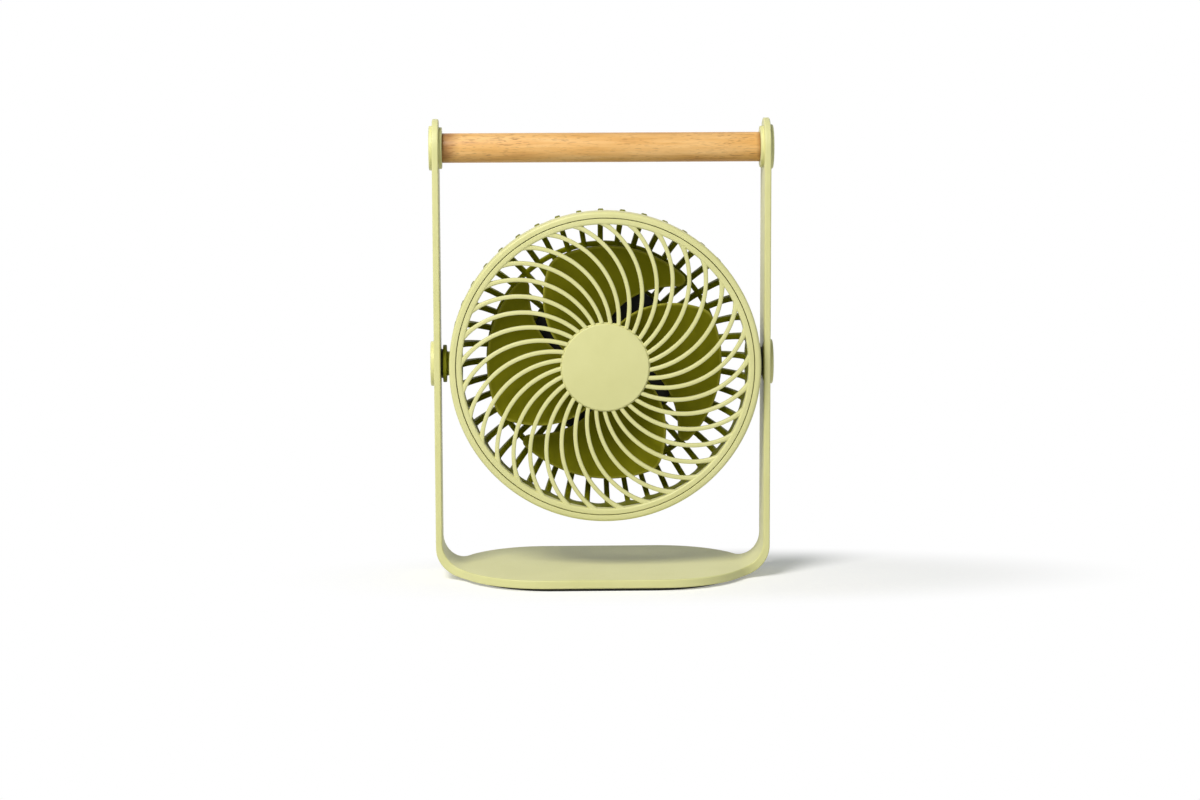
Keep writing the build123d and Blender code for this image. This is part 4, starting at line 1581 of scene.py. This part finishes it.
@dataclass
class FanWheel(SubAssembly):
    """Cupped hub with four broad swept blades.

    A place on a blade is given by its radius and its share: 0 at the leading edge and 1 at the
    trailing edge.
    """

    hub_radius: float = 20.34
    hub_front: float = -13.0
    hub_back: float = 9.0
    hub_wall: float = 2.0
    hub_edge: float = 3.0
    hub_back_edge: float = 0.5
    cup_edge: float = 0.3
    shaft_boss: float = 6.2
    shaft_boss_edge: float = 0.2
    shaft_bore: float = 1.52
    shaft_front: float = -12.0
    shaft_back: float = -8.0
    blade_count: int = 4
    root: float = 19.34
    tip: float = 68.5
    leading_angle: float = -34.75
    middle: float = 51.0
    sweep: float = 1.0
    span: float = 79.0
    leading_depth: float = 7.4
    rise: float = 16.9
    camber: float = 2.2
    thickness: float = 1.6
    leading_corner: float = 4.0
    trailing_corner: float = 12.0
    # Width of the painted highlight along the blade edges
    highlight_width: float = 2.2
    blade_crease: float = 60.0
    rows: int = 18
    columns: int = 34
    edge_falls: tuple[float, ...] = (0.0, 0.06, 0.2, 0.4, 0.6, 0.8)
    last_fall: float = 1.4
    edge_stretch: float = 1.5
    radius_step: float = 0.05
    radius_leeway: float = 1e-6
    share_step: float = 0.001
    share_leeway: float = 1e-9
    corner_turns: tuple[int, ...] = (36, 45, 54, 63, 72, 81, 90)
    corner_window: int = 3
    corner_samples: int = 400
    corner_halvings: int = 40
    widest_turn: float = 0.5
    edge_samples: int = 1200
    tip_samples: int = 800

    def angle(self, radius: float, share: float) -> float:
        """Direction of a blade's place in radians."""
        swept = self.sweep * (self.middle - radius)
        return math.radians(self.leading_angle + swept + share * self.span)

    def place(self, radius: float, share: float) -> Vector:
        """Point of a blade's middle surface, in metres."""
        depth = self.leading_depth - share * self.rise + 4 * self.camber * share * (1 - share)
        return fan_axle().point(radius, depth, self.angle(radius, share))

    def corner(self, radius: float, edge: BladeEdge) -> Pair:
        """Fits a rounded corner between an edge and the tip.

        Args:
            radius: radius of the corner.
            edge: the edge that the corner ends.

        Returns:
            The direction of the corner's centre in radians, and the radius where it leaves the
            edge.
        """
        reach = self.tip - radius
        window = self.corner_window * radius
        samples = self.corner_samples
        radii = [self.tip - window + window * step / samples for step in range(samples + 1)]
        line = [(r, self.angle(r, edge.value)) for r in radii]
        low, high = 0.0, self.widest_turn
        touch = reach
        for _ in range(self.corner_halvings):
            turn = (low + high) / 2
            centre = self.angle(reach, edge.value) + edge.inward * turn
            spans = []
            for r, a in line:
                squared = r * r + reach * reach - 2 * r * reach * math.cos(a - centre)
                spans.append((math.sqrt(squared), r))
            nearest, touch = min(spans)
            low, high = (turn, high) if nearest < radius else (low, turn)
        return centre, touch

    def corners(self) -> tuple[Pair, Pair]:
        """The leading and the trailing corner of a blade, as corner() gives them."""
        leading = self.corner(self.leading_corner, BladeEdge.LEADING)
        return leading, self.corner(self.trailing_corner, BladeEdge.TRAILING)

    def limits(self, radius: float, corners: tuple[Pair, Pair]) -> Pair:
        """Finds where a blade begins and ends at a radius.

        Args:
            radius: distance from the fan axis.
            corners: the leading and the trailing corner.

        Returns:
            The shares of the two edges.
        """
        found = []
        sizes = (self.leading_corner, self.trailing_corner)
        for edge, size, (centre, touch) in zip(BladeEdge, sizes, corners):
            limit = edge.value
            if radius > touch:
                reach = self.tip - size
                cosine = (radius ** 2 + reach ** 2 - size ** 2) / (2 * radius * reach)
                opening = math.acos(min(1.0, cosine))
                angle = centre - edge.inward * opening
                limit = (angle - self.angle(radius, 0.0)) / math.radians(self.span)
            found.append(limit)
        return found[0], found[1]

    def rim(self, corners: tuple[Pair, Pair]) -> KDTree:
        """Lays points all along a blade's edge, for finding how far a point is from it.

        Args:
            corners: the leading and the trailing corner.

        Returns:
            The points, ready to be searched.
        """
        spots: list[Vector] = []
        for step in range(self.edge_samples):
            left = 1 - step / (self.edge_samples - 1)
            radius = self.root + (self.tip - self.root) * (1 - left ** 2)
            spots += [self.place(radius, share) for share in self.limits(radius, corners)]
        low, high = self.limits(self.tip, corners)
        for step in range(self.tip_samples + 1):
            spots.append(self.place(self.tip, low + (high - low) * step / self.tip_samples))
        tree = KDTree(len(spots))
        for index, spot in enumerate(spots):
            tree.insert(spot, index)
        tree.balance()
        return tree

    def stations(self) -> list[float]:
        """Lays out the blade's rows, closer together round the trailing corner and at the tip.

        Returns:
            The radius of each row.
        """
        turns = [math.radians(turn) for turn in self.corner_turns]
        tail = [self.trailing_corner * (1 - math.cos(turn)) for turn in turns]
        length = self.tip - tail[-1] - self.root
        radii = [self.root + length * row / self.rows for row in range(self.rows)]
        falls = [*self.edge_falls, self.last_fall, *tail]
        return radii + [self.tip - fall for fall in reversed(falls)]

    def shares(self, radius: float, low: float, high: float) -> list[float]:
        """Spreads points across a blade, closer together at its edges.

        Args:
            radius: distance from the fan axis.
            low: share of the leading edge there.
            high: share of the trailing edge there.

        Returns:
            The shares of the points.
        """
        width = radius * math.radians(self.span)
        near = [fall * self.edge_stretch / width for fall in self.edge_falls]
        inside = high - low - 2 * near[-1]
        inner = [near[-1] + inside * step / self.columns for step in range(1, self.columns)]
        return [low + step for step in near + inner] + [high - step for step in reversed(near)]

    def loop(self, radius: float, corners: tuple[Pair, Pair], tree: KDTree) -> list[Vector]:
        """Goes round a blade's section at one radius.

        Args:
            radius: distance from the fan axis.
            corners: the leading and the trailing corner.
            tree: points of the blade's edge.

        Returns:
            Points along one surface and back along the other, which meet at the edge.
        """
        half = self.thickness / 2
        low, high = self.limits(radius, corners)
        above: list[Vector] = []
        below: list[Vector] = []
        for share in self.shares(radius, low, high):
            spot = self.place(radius, share)
            outer, inner = radius + self.radius_step, radius - self.radius_step
            along = self.place(outer, share) - self.place(inner, share)
            after, before = share + self.share_step, share - self.share_step
            across = self.place(radius, after) - self.place(radius, before)
            distance = tree.find(spot)[2] / MM
            at_side = min(share - low, high - share) < self.share_leeway
            if at_side or radius > self.tip - self.radius_leeway:
                distance = 0.0
            swell = math.sqrt(1 - (1 - min(distance / half, 1.0)) ** 2)
            lift = along.cross(across).normalized() * half * swell * MM
            above.append(spot + lift)
            below.append(spot - lift)
        return above + below[::-1]

    def blades(self) -> Piece:
        """Makes the blades and marks how near each point is to an edge, from 0 to 1, for the
        painted edge highlight.

        Returns:
            The blades in one object.
        """
        corners = self.corners()
        tree = self.rim(corners)
        loops = [self.loop(radius, corners, tree) for radius in self.stations()]
        shell = skin(loops)
        shell.faces.append(tuple(range(len(loops[0]))))
        piece = shell.piece("wheel.blades", self.finishes.made[Finish.WHEEL], self.blade_crease)
        # This mark drives the painted highlight along the blade edges in the wheel's finish
        marks = piece.data.attributes.new(HIGHLIGHT_MARK, "FLOAT", "POINT")
        for point, mark in zip(piece.data.vertices, marks.data):
            mark.value = max(0.0, 1 - tree.find(point.co)[2] / (self.highlight_width * MM))
        return CopyRing().run(piece, self.blade_count, 0.0)

    def hub(self) -> list[Pair]:
        """Profile of the cupped hub with the boss for the shaft.

        Returns:
            The profile for turning.
        """
        cup = self.hub_radius - self.hub_wall
        bottom = self.hub_front + self.hub_wall
        return rounded([
            (0, self.hub_front, 0),
            (self.hub_radius, self.hub_front, self.hub_edge),
            (self.hub_radius, self.hub_back, self.hub_back_edge),
            (cup, self.hub_back, self.cup_edge),
            (cup, bottom, 0),
            (self.shaft_boss, bottom, 0),
            (self.shaft_boss, self.shaft_back, self.shaft_boss_edge),
            (self.shaft_bore, self.shaft_back, 0),
            (self.shaft_bore, self.shaft_front, 0),
            (0, self.shaft_front, 0),
        ])

    def build(self) -> None:
        """Makes the wheel in one piece."""
        pieces = [self.blades(), self.lathe("wheel.hub", Finish.WHEEL, self.hub(), fan_axle())]
        self.dress(merged("wheel.moulding", pieces), Finish.WHEEL, Body.WHEEL, "impeller")


@dataclass
class RearGuard(SubAssembly):
    """Rim band, deep radial bars, one ring and the back disc."""

    band_radius: float = 87.9
    band_inner: float = 83.0
    band_front: float = RIM_SEAT
    band_back: float = -2.0
    band_inner_edge: float = 0.4
    band_outer_edge: float = 0.3
    band_back_edge: float = 0.6
    bar_radius: float = RING_RADIUS
    bar_depth: float = 6.5
    bar_width: float = 3.0
    bar_count: int = 44
    bar_phase: float = 91.2
    bar_setback: float = 0.4
    bar_front: float = -9.4
    bar_slope: float = -12.6
    bar_root: float = 85.8
    bar_foot: float = 45.3
    bar_edge: float = 0.5
    corner_radius: float = 31.0
    corner_depth: float = -2.0
    ring_inner: float = 66.1
    ring_outer: float = 68.9
    ring_setback: float = 0.4
    disc_radius: float = 47.0
    disc_front: float = 25.5
    disc_back: float = 29.0
    disc_front_edge: float = 0.4
    disc_back_edge: float = 0.6
    boss_radius: float = 11.4
    boss_inner: float = 82.5
    boss_face: float = BOSS_FACE
    boss_bore: float = 4.62
    boss_edge: float = 0.4
    boss_gap: float = 0.2
    outer_steps: int = 22
    inner_steps: int = 18
    nearest: float = 0.05
    arch_steps: int = 14

    def bar_outline(self, widest: float) -> list[Pair]:
        """Side view of one bar.

        Args:
            widest: radius that no point of the bar goes past.

        Returns:
            Radius and depth of each point.
        """
        centre = (self.bar_radius - self.corner_radius, self.corner_depth)
        front = self.band_front + self.bar_setback
        back = self.corner_depth + self.corner_radius
        inner = self.corner_radius - self.bar_depth
        outline = [(self.bar_root, front), (self.bar_root, self.bar_slope)]
        outline += [(self.bar_radius, self.bar_front)]
        outline += arc(centre, self.corner_radius, 0, 90, self.outer_steps)
        outline += [(self.bar_foot, back), (self.bar_foot, back - self.bar_depth)]
        outline += arc(centre, inner, 90, 0, self.inner_steps)
        outline += [(centre[0] + inner, front)]
        kept: list[Pair] = []
        for radius, depth in outline:
            spot = (min(radius, widest), depth)
            if not kept or math.dist(spot, kept[-1]) > self.nearest:
                kept.append(spot)
        return kept

    def bars(self, widest: float, place: BarPlace) -> Piece:
        """Makes the bars at the tilt axis, or all the others.

        Args:
            widest: radius that no bar goes past.
            place: which bars are made.

        Returns:
            The bars in one object.
        """
        centre = fan_axle().centre
        half = self.bar_width / 2
        shell = plate(self.bar_outline(widest), -half, half, self.bar_edge,
                      lambda radius, depth, side: (centre + Vector((radius, depth, side))) * MM)
        host = shell.piece("guard.bars", self.finishes.made[Finish.OLIVE], SOFT_CREASE)
        limit = (self.boss_radius + self.bar_width) / self.bar_radius
        sizes = {"Limit": limit, "Below": place.value}
        return PartRing().run(host, self.bar_count, self.bar_phase, **sizes)

    def ring(self) -> list[Pair]:
        """Profile of the ring that ties the bars together.

        Returns:
            The profile for turning.
        """
        centre = self.bar_radius - self.corner_radius
        outer = self.corner_radius - self.ring_setback
        inner = self.corner_radius - self.bar_depth + self.ring_setback
        corners = []
        for radius, bend in ((self.ring_inner, inner), (self.ring_outer, inner),
                             (self.ring_outer, outer), (self.ring_inner, outer)):
            depth = self.corner_depth + math.sqrt(bend ** 2 - (radius - centre) ** 2)
            corners.append((radius, depth, self.bar_edge))
        return rounded(corners)

    def band(self) -> Piece:
        """Makes the rim band, its back arched between the bars to give the slots round ends.

        Returns:
            The band.
        """
        axle = fan_axle()
        pitch = FULL_TURN / self.bar_count
        middle = (self.band_inner + self.band_radius) / 2
        reach = (pitch * middle - self.bar_width) / 2
        stops = [(-pitch / 2, reach)]
        for step in range(self.arch_steps + 1):
            lean = math.pi * (step / self.arch_steps - 0.5)
            stops.append((reach * math.sin(lean) / middle, reach * (1 - math.cos(lean))))
        stops.append((pitch / 2, reach))
        loops = []
        for angle, rise in stops:
            profile = rounded([
                (self.band_inner, self.band_front, self.band_inner_edge),
                (self.band_radius, self.band_front, self.band_outer_edge),
                (self.band_radius, self.band_back + rise, self.band_back_edge),
                (self.band_inner, self.band_back + rise, self.band_back_edge),
            ])
            loops.append([axle.point(radius, depth, angle) for radius, depth in profile])
        host = skin(loops).piece("guard.band", self.finishes.made[Finish.OLIVE])
        CopyRing().run(host, self.bar_count, self.bar_phase + math.degrees(pitch) / 2)
        close_up(host.data)
        smooth(host.data, SOFT_CREASE)
        return host

    def build(self) -> None:
        """Makes the guard in one piece."""
        axle = fan_axle()
        disc = disc_profile(self.disc_radius, self.disc_front, self.disc_back,
                            self.disc_front_edge, self.disc_back_edge)
        made = [
            self.band(),
            self.lathe("guard.ring", Finish.OLIVE, self.ring(), axle, RING_STEPS),
            self.lathe("guard.disc", Finish.OLIVE, disc, axle, DISC_STEPS),
            self.bars(self.bar_radius, BarPlace.ELSEWHERE),
            self.bars(self.boss_face - self.boss_gap, BarPlace.TILT_AXIS),
        ]
        boss = rounded([
            (self.boss_bore, self.boss_inner, 0),
            (self.boss_radius, self.boss_inner, self.boss_edge),
            (self.boss_radius, self.boss_face, self.boss_edge),
            (self.boss_bore, self.boss_face, 0),
        ])
        for side in Side:
            boss_axle = side_axle(side, axle.centre.z, axle.centre.x)
            made.append(self.lathe("guard.boss", Finish.OLIVE, boss, boss_axle))
        self.dress(merged("guard.moulding", made), Finish.OLIVE, Body.HEAD, "rear_guard")


@dataclass
class ScrewRing(Workbench):
    """Ring of screws with round heads, each with a cross for the driver."""

    circle: float = 34.0
    count: int = 4
    phase: float = 45.0
    head_radius: float = 2.4
    head_height: float = 1.6
    rim_edge: float = 0.5
    shank_radius: float = 1.3
    shank_length: float = 2.2
    slot_length: float = 3.4
    slot_width: float = 0.8
    slot_depth: float = 0.6
    seat_radius: float = SCREW_SEAT_RADIUS
    steps: int = 40

    def screws(self, name: str, depth: float, facing: Facing) -> Piece:
        """Makes the screws.

        Args:
            name: name of the object.
            depth: depth of the heads' seats.
            facing: the way that the heads look.

        Returns:
            The screws in one object.
        """
        seat = fan_axle().point(self.circle, depth, 0.0) / MM
        axle = Axle(seat, Vector((0, facing.value, 0)), Vector((1, 0, 0)), Vector((0, 0, 1)))
        profile = rounded([
            (0, -self.shank_length, 0),
            (self.shank_radius, -self.shank_length, 0),
            (self.shank_radius, 0, 0),
            (self.head_radius, 0, 0),
            (self.head_radius, self.head_height, self.rim_edge),
            (0, self.head_height, 0),
        ])
        screw = self.lathe(name, Finish.STEEL, profile, axle, self.steps)
        cutters = []
        for turn in (0.0, math.pi / 2):
            long_way = Vector((math.cos(turn), 0, math.sin(turn))) * self.slot_length / 2
            wide_way = Vector((-math.sin(turn), 0, math.cos(turn))) * self.slot_width / 2
            loops = []
            for height in (self.head_height - self.slot_depth, self.head_height + CUT_PAST):
                middle = seat + axle.along * height
                signs = ((1, 1), (1, -1), (-1, -1), (-1, 1))
                loops.append([(middle + long_way * a + wide_way * b) * MM for a, b in signs])
            steel = self.finishes.made[Finish.STEEL]
            cutters.append(skin(loops, capped=True).piece("cutter", steel))
        return CopyRing().run(carved(screw, cutters), self.count, self.phase)

    def recesses(self, finish: Finish, low: float, high: float, steps: int) -> list[Piece]:
        """Makes the shapes that cut the seats of the heads.

        Args:
            finish: finish of the piece that they cut.
            low: depth where the cut begins.
            high: depth where it ends.
            steps: flats round each seat.

        Returns:
            One shape for each screw.
        """
        profile = disc_profile(self.seat_radius, low, high)
        made = []
        for step in range(self.count):
            angle = math.radians(self.phase) + FULL_TURN * step / self.count
            across, up = self.circle * math.cos(angle), self.circle * math.sin(angle)
            axle = fan_axle().beside(across, up)
            made.append(self.lathe("cutter", finish, profile, axle, steps))
        return made


@dataclass
class MotorUnit(SubAssembly):
    """Black plate, pedestal and bearing tube of the motor, with its four screws."""

    plate_radius: float = 45.0
    plate_front: float = 22.5
    plate_back: float = 25.5
    plate_edge: float = 0.6
    pedestal_radius: float = 22.0
    pedestal_front: float = 10.2
    pedestal_edge: float = 1.0
    pedestal_fillet: float = 0.8
    tube_radius: float = 6.2
    tube_front: float = -7.0
    tube_edge: float = 0.3
    tube_bore: float = 4.02
    screw_circle: float = 34.0
    screw_count: int = 4
    screw_phase: float = 45.0
    seat_depth: float = SCREW_SEAT_DEPTH
    seat_steps: int = 40

    def build(self) -> None:
        """Makes the plate and its screws."""
        profile = rounded([
            (self.tube_bore, self.tube_front, 0),
            (self.tube_radius, self.tube_front, self.tube_edge),
            (self.tube_radius, self.pedestal_front, 0),
            (self.pedestal_radius, self.pedestal_front, self.pedestal_edge),
            (self.pedestal_radius, self.plate_front, self.pedestal_fillet),
            (self.plate_radius, self.plate_front, self.plate_edge),
            (self.plate_radius, self.plate_back, 0),
            (self.tube_bore, self.plate_back, 0),
        ])
        whole = self.lathe("motor.plate", Finish.BLACK, profile, fan_axle(), DISC_STEPS)
        ring = ScrewRing(self.finishes, self.screw_circle, self.screw_count, self.screw_phase)
        seat = self.plate_front + self.seat_depth
        cutters = ring.recesses(Finish.BLACK, self.plate_front - CUT_PAST, seat, self.seat_steps)
        self.dress(carved(whole, cutters), Finish.BLACK, Body.HEAD, "motor_plate")
        screws = ring.screws("motor.screws", seat, Facing.FRONT)
        self.dress(screws, Finish.STEEL, Body.HEAD, "motor_screws")


@dataclass
class RearCover(SubAssembly):
    """Round shell on the guard's back, with screws, button, light and charging socket."""

    radius: float = 40.0
    wall: float = 2.2
    edge: float = 5.5
    front: float = 29.0
    front_edge: float = 0.3
    inside: float = 40.8
    back: float = 43.0
    edge_steps: int = 8
    screw_circle: float = 32.5
    screw_count: int = 3
    screw_phase: float = 90.0
    seat_depth: float = SCREW_SEAT_DEPTH
    hole_steps: int = 48
    button_up: float = -14.06
    button_radius: float = 6.0
    button_front: float = 39.5
    button_back: float = 43.9
    button_edge: float = 0.7
    button_gap: float = 0.3
    button_steps: int = 5
    dish_depth: float = 0.35
    dish_inset: float = 1.8
    dish_edge: float = 0.8
    flange_radius: float = 7.2
    flange_thickness: float = 1.0
    flange_edge: float = 0.2
    lens_across: float = 11.0
    lens_radius: float = 1.3
    lens_front: float = 38.6
    lens_gap: float = 0.05
    lens_edge: float = 0.25
    lens_steps: int = 32
    mouth_width: float = 9.3
    mouth_height: float = 3.6
    mouth_depth: float = 36.25
    mouth_round: float = 0.6

    def shell(self) -> list[Pair]:
        """Profile of the cover's shell.

        Returns:
            The profile for turning.
        """
        inner = self.radius - self.wall
        return rounded([
            (inner, self.front, 0),
            (self.radius, self.front, self.front_edge),
            (self.radius, self.back, self.edge),
            (0, self.back, 0),
            (0, self.inside, 0),
            (inner, self.inside, self.edge - self.wall),
        ], self.edge_steps)

    def button(self) -> list[Pair]:
        """Profile of the button with its dished top and the flange that keeps it in.

        Returns:
            The profile for turning.
        """
        flange_back = self.button_front + self.flange_thickness
        return rounded([
            (0, self.button_front, 0),
            (self.flange_radius, self.button_front, self.flange_edge),
            (self.flange_radius, flange_back, self.flange_edge),
            (self.button_radius, flange_back, 0),
            (self.button_radius, self.button_back, self.button_edge),
            (self.button_radius - self.dish_inset, self.button_back, self.dish_edge),
            (0, self.button_back - self.dish_depth, 0),
        ], self.button_steps)

    def mouth(self) -> Piece:
        """Makes the shape that cuts the socket's mouth into the lower rim.

        Returns:
            The shape.
        """
        wide, high = self.mouth_width / 2, self.mouth_height / 2
        turn = high * self.mouth_round
        signs = ((-1, -1), (1, -1), (1, 1), (-1, 1))
        outline = rounded([(wide * x, high * y, turn) for x, y in signs])
        centre = fan_axle().centre
        loops = []
        for drop in (self.radius - 2 * self.wall, self.radius + self.wall):
            spots = [Vector((x, self.mouth_depth + y, -drop)) for x, y in outline]
            loops.append([(centre + spot) * MM for spot in spots])
        return skin(loops, capped=True).piece("cutter", self.finishes.made[Finish.OLIVE])

    def build(self) -> None:
        """Makes the cover, its screws, the button and the light."""
        button_axle = fan_axle().beside(0, self.button_up)
        lens_axle = fan_axle().beside(self.lens_across, self.button_up)
        ring = ScrewRing(self.finishes, self.screw_circle, self.screw_count, self.screw_phase)
        seat, outside = self.back - self.seat_depth, self.back + CUT_PAST
        cutters = []
        for axle, radius in ((button_axle, self.button_radius + self.button_gap),
                             (lens_axle, self.lens_radius + self.lens_gap)):
            hole = disc_profile(radius, self.inside - CUT_PAST, outside)
            cutters.append(self.lathe("cutter", Finish.OLIVE, hole, axle, self.hole_steps))
        cutters += ring.recesses(Finish.OLIVE, seat, outside, self.hole_steps)
        cutters.append(self.mouth())
        whole = self.lathe("cover.shell", Finish.OLIVE, self.shell(), fan_axle(), DISC_STEPS)
        self.dress(carved(whole, cutters), Finish.OLIVE, Body.HEAD, "rear_cover")
        screws = ring.screws("cover.screws", seat, Facing.BACK)
        self.dress(screws, Finish.STEEL, Body.HEAD, "cover_screws")
        button = self.lathe("cover.button", Finish.PISTACHIO, self.button(), button_axle)
        self.dress(button, Finish.PISTACHIO, Body.BUTTON, "power_button")
        profile = disc_profile(self.lens_radius, self.lens_front, self.back,
                               high_edge=self.lens_edge)
        light = self.lathe("cover.light", Finish.LENS, profile, lens_axle, self.lens_steps)
        self.dress(light, Finish.LENS, Body.HEAD, "indicator_lens")


# Studio


@dataclass
class Studio:
    """Pale floor, soft light and the camera, in metres and degrees."""

    floor_half: float = 6.0
    floor_tone: float = 0.86
    floor_grain: float = 0.01
    floor_fibre: float = 900.0
    floor_lift: float = 0.25
    white_start: float = 0.12
    white_end: float = 0.27
    white_centre: Triple = (0.06, -0.01, 0.0)
    white_stretch: Triple = (1.0, 3.0, 1.0)
    fill_level: float = 0.42
    fill_top: float = 0.10
    fill_colour: Colour = (245, 255, 252)
    key_power: float = 31.0
    key_colour: Colour = (255, 252, 251)
    key_size: float = 0.8
    key_place: Triple = (-0.72, -1.10, 1.47)
    key_target: Triple = (0.0, 0.0, 0.11)
    camera_distance: float = 1.8
    camera_yaw: float = -1.51
    camera_pitch: float = 8.27
    camera_roll: float = -0.19
    camera_target: Triple = (-0.00108, 0.0, 0.10313)
    camera_lens: float = 92.45
    camera_sensor: float = 36.0

    def seen(self, bench: NodeBench) -> Socket:
        """Makes a factor that is 1 where a ray shows the background to the eye.

        Args:
            bench: the tree to add it to.

        Returns:
            The factor.
        """
        rays = bench.add("ShaderNodeLightPath").outputs
        first = bench.math("MAXIMUM", rays["Is Camera Ray"], rays["Is Glossy Ray"])
        return bench.math("MAXIMUM", first, rays["Is Transmission Ray"])

    def paper(self) -> Material:
        """Makes the floor's paper, which keeps the shadow and turns plain white further out.

        Returns:
            The material.
        """
        material = bpy.data.materials.new("floor_paper")
        material.use_nodes = True
        bench = NodeBench(material.node_tree)
        bench.tree.nodes.clear()
        place = bench.add("ShaderNodeTexCoord").outputs["Object"]
        inputs = {"Vector": place, "Scale": self.floor_fibre, "Detail": 2.0}
        fibre = bench.add("ShaderNodeTexNoise", inputs).outputs["Fac"]
        low, high = self.floor_tone - self.floor_grain, self.floor_tone + self.floor_grain
        inputs = {"Color": bench.spread(fibre, low, high)}
        paper = bench.add("ShaderNodeBsdfDiffuse", inputs).outputs[0]
        seen = self.seen(bench)
        inputs = {"Strength": bench.math("MULTIPLY", seen, self.floor_lift)}
        lift = bench.add("ShaderNodeEmission", inputs).outputs[0]
        near = bench.add("ShaderNodeAddShader", {0: paper, 1: lift}).outputs[0]
        white = bench.add("ShaderNodeEmission", {"Strength": 1.0}).outputs[0]
        shift = [-middle * by for middle, by in zip(self.white_centre, self.white_stretch)]
        inputs = {"Vector": place, "Location": shift, "Scale": self.white_stretch}
        oval = bench.add("ShaderNodeMapping", inputs).outputs[0]
        away = bench.add("ShaderNodeVectorMath", {0: oval}, operation="LENGTH").outputs["Value"]
        inputs = {"Value": away, "From Min": self.white_start, "From Max": self.white_end}
        fade = bench.add("ShaderNodeMapRange", inputs, interpolation_type="SMOOTHSTEP")
        share = bench.math("MULTIPLY", fade.outputs["Result"], seen)
        mix = bench.add("ShaderNodeMixShader", {0: share, 1: near, 2: white}).outputs[0]
        bench.add("ShaderNodeOutputMaterial", {"Surface": mix})
        return material

    def floor(self) -> None:
        """Lays the floor."""
        half = self.floor_half
        corners = [(-half, -half, 0), (half, -half, 0), (half, half, 0), (-half, half, 0)]
        mesh = bpy.data.meshes.new("floor")
        mesh.from_pydata(corners, [], [(0, 1, 2, 3)])
        mesh.materials.append(self.paper())
        linked("floor", mesh)

    def world(self) -> None:
        """Sets a white surround that lights the fan more from the sides than from above."""
        world = bpy.data.worlds.new("surround")
        bpy.context.scene.world = world
        world.use_nodes = True
        bench = NodeBench(world.node_tree)
        bench.tree.nodes.clear()
        seen = self.seen(bench)
        direction = bench.add("ShaderNodeTexCoord").outputs["Object"]
        height = bench.add("ShaderNodeSeparateXYZ", {0: direction}).outputs["Z"]
        fill = bench.spread(height, self.fill_level, self.fill_top)
        inputs = {
            "Color": bench.blend(seen, tone(self.fill_colour), tone(WHITE)),
            "Strength": bench.math("MAXIMUM", fill, seen),
        }
        backdrop = bench.add("ShaderNodeBackground", inputs).outputs[0]
        bench.add("ShaderNodeOutputWorld", {"Surface": backdrop})

    def lamp(self) -> None:
        """Hangs one large soft lamp at the upper left of the front."""
        data = bpy.data.lights.new("key", "AREA")
        data.shape = "DISK"
        data.size = self.key_size
        data.energy = self.key_power
        data.color = tone(self.key_colour)[:3]
        lamp = linked("key", data)
        lamp.location = self.key_place
        aim = Vector(self.key_target) - Vector(self.key_place)
        lamp.rotation_euler = aim.to_track_quat("-Z", "Y").to_euler()

    def camera(self) -> None:
        """Sets the camera at the photograph's angle."""
        degrees = (self.camera_yaw, self.camera_pitch, self.camera_roll)
        yaw, pitch, roll = (math.radians(angle) for angle in degrees)
        level = math.cos(pitch)
        back = Vector((math.sin(yaw) * level, -math.cos(yaw) * level, math.sin(pitch)))
        right = Vector((math.cos(yaw), math.sin(yaw), 0))
        up = back.cross(right)
        rolled_right = right * math.cos(roll) + up * math.sin(roll)
        rolled_up = up * math.cos(roll) - right * math.sin(roll)
        data = bpy.data.cameras.new("camera")
        data.sensor_width = self.camera_sensor
        data.lens = self.camera_lens
        camera = linked("camera", data)
        turn = Matrix((rolled_right, rolled_up, back)).transposed().to_4x4()
        place = Vector(self.camera_target) + back * self.camera_distance
        camera.matrix_world = Matrix.Translation(place) @ turn
        bpy.context.scene.camera = camera

    def build(self) -> None:
        """Sets up the whole studio."""
        self.floor()
        self.world()
        self.lamp()
        self.camera()
        bpy.context.scene.view_settings.view_transform = "Standard"


ASSEMBLIES = (
    Stand, CarryingBar, TiltPivot, FrontGrille, FanWheel, RearGuard, MotorUnit, RearCover,
)


def main() -> None:
    """Builds the fan's sub-assemblies in order, then the studio."""
    logging.basicConfig(level=logging.INFO, format="%(name)s %(message)s")
    finishes = Wardrobe()
    for assembly in ASSEMBLIES:
        assembly(finishes).build()
    for node, finish in KEPT_NODES.items():
        finishes.paint(node, finish)
    Studio().build()


if __name__ == "__main__":
    main()
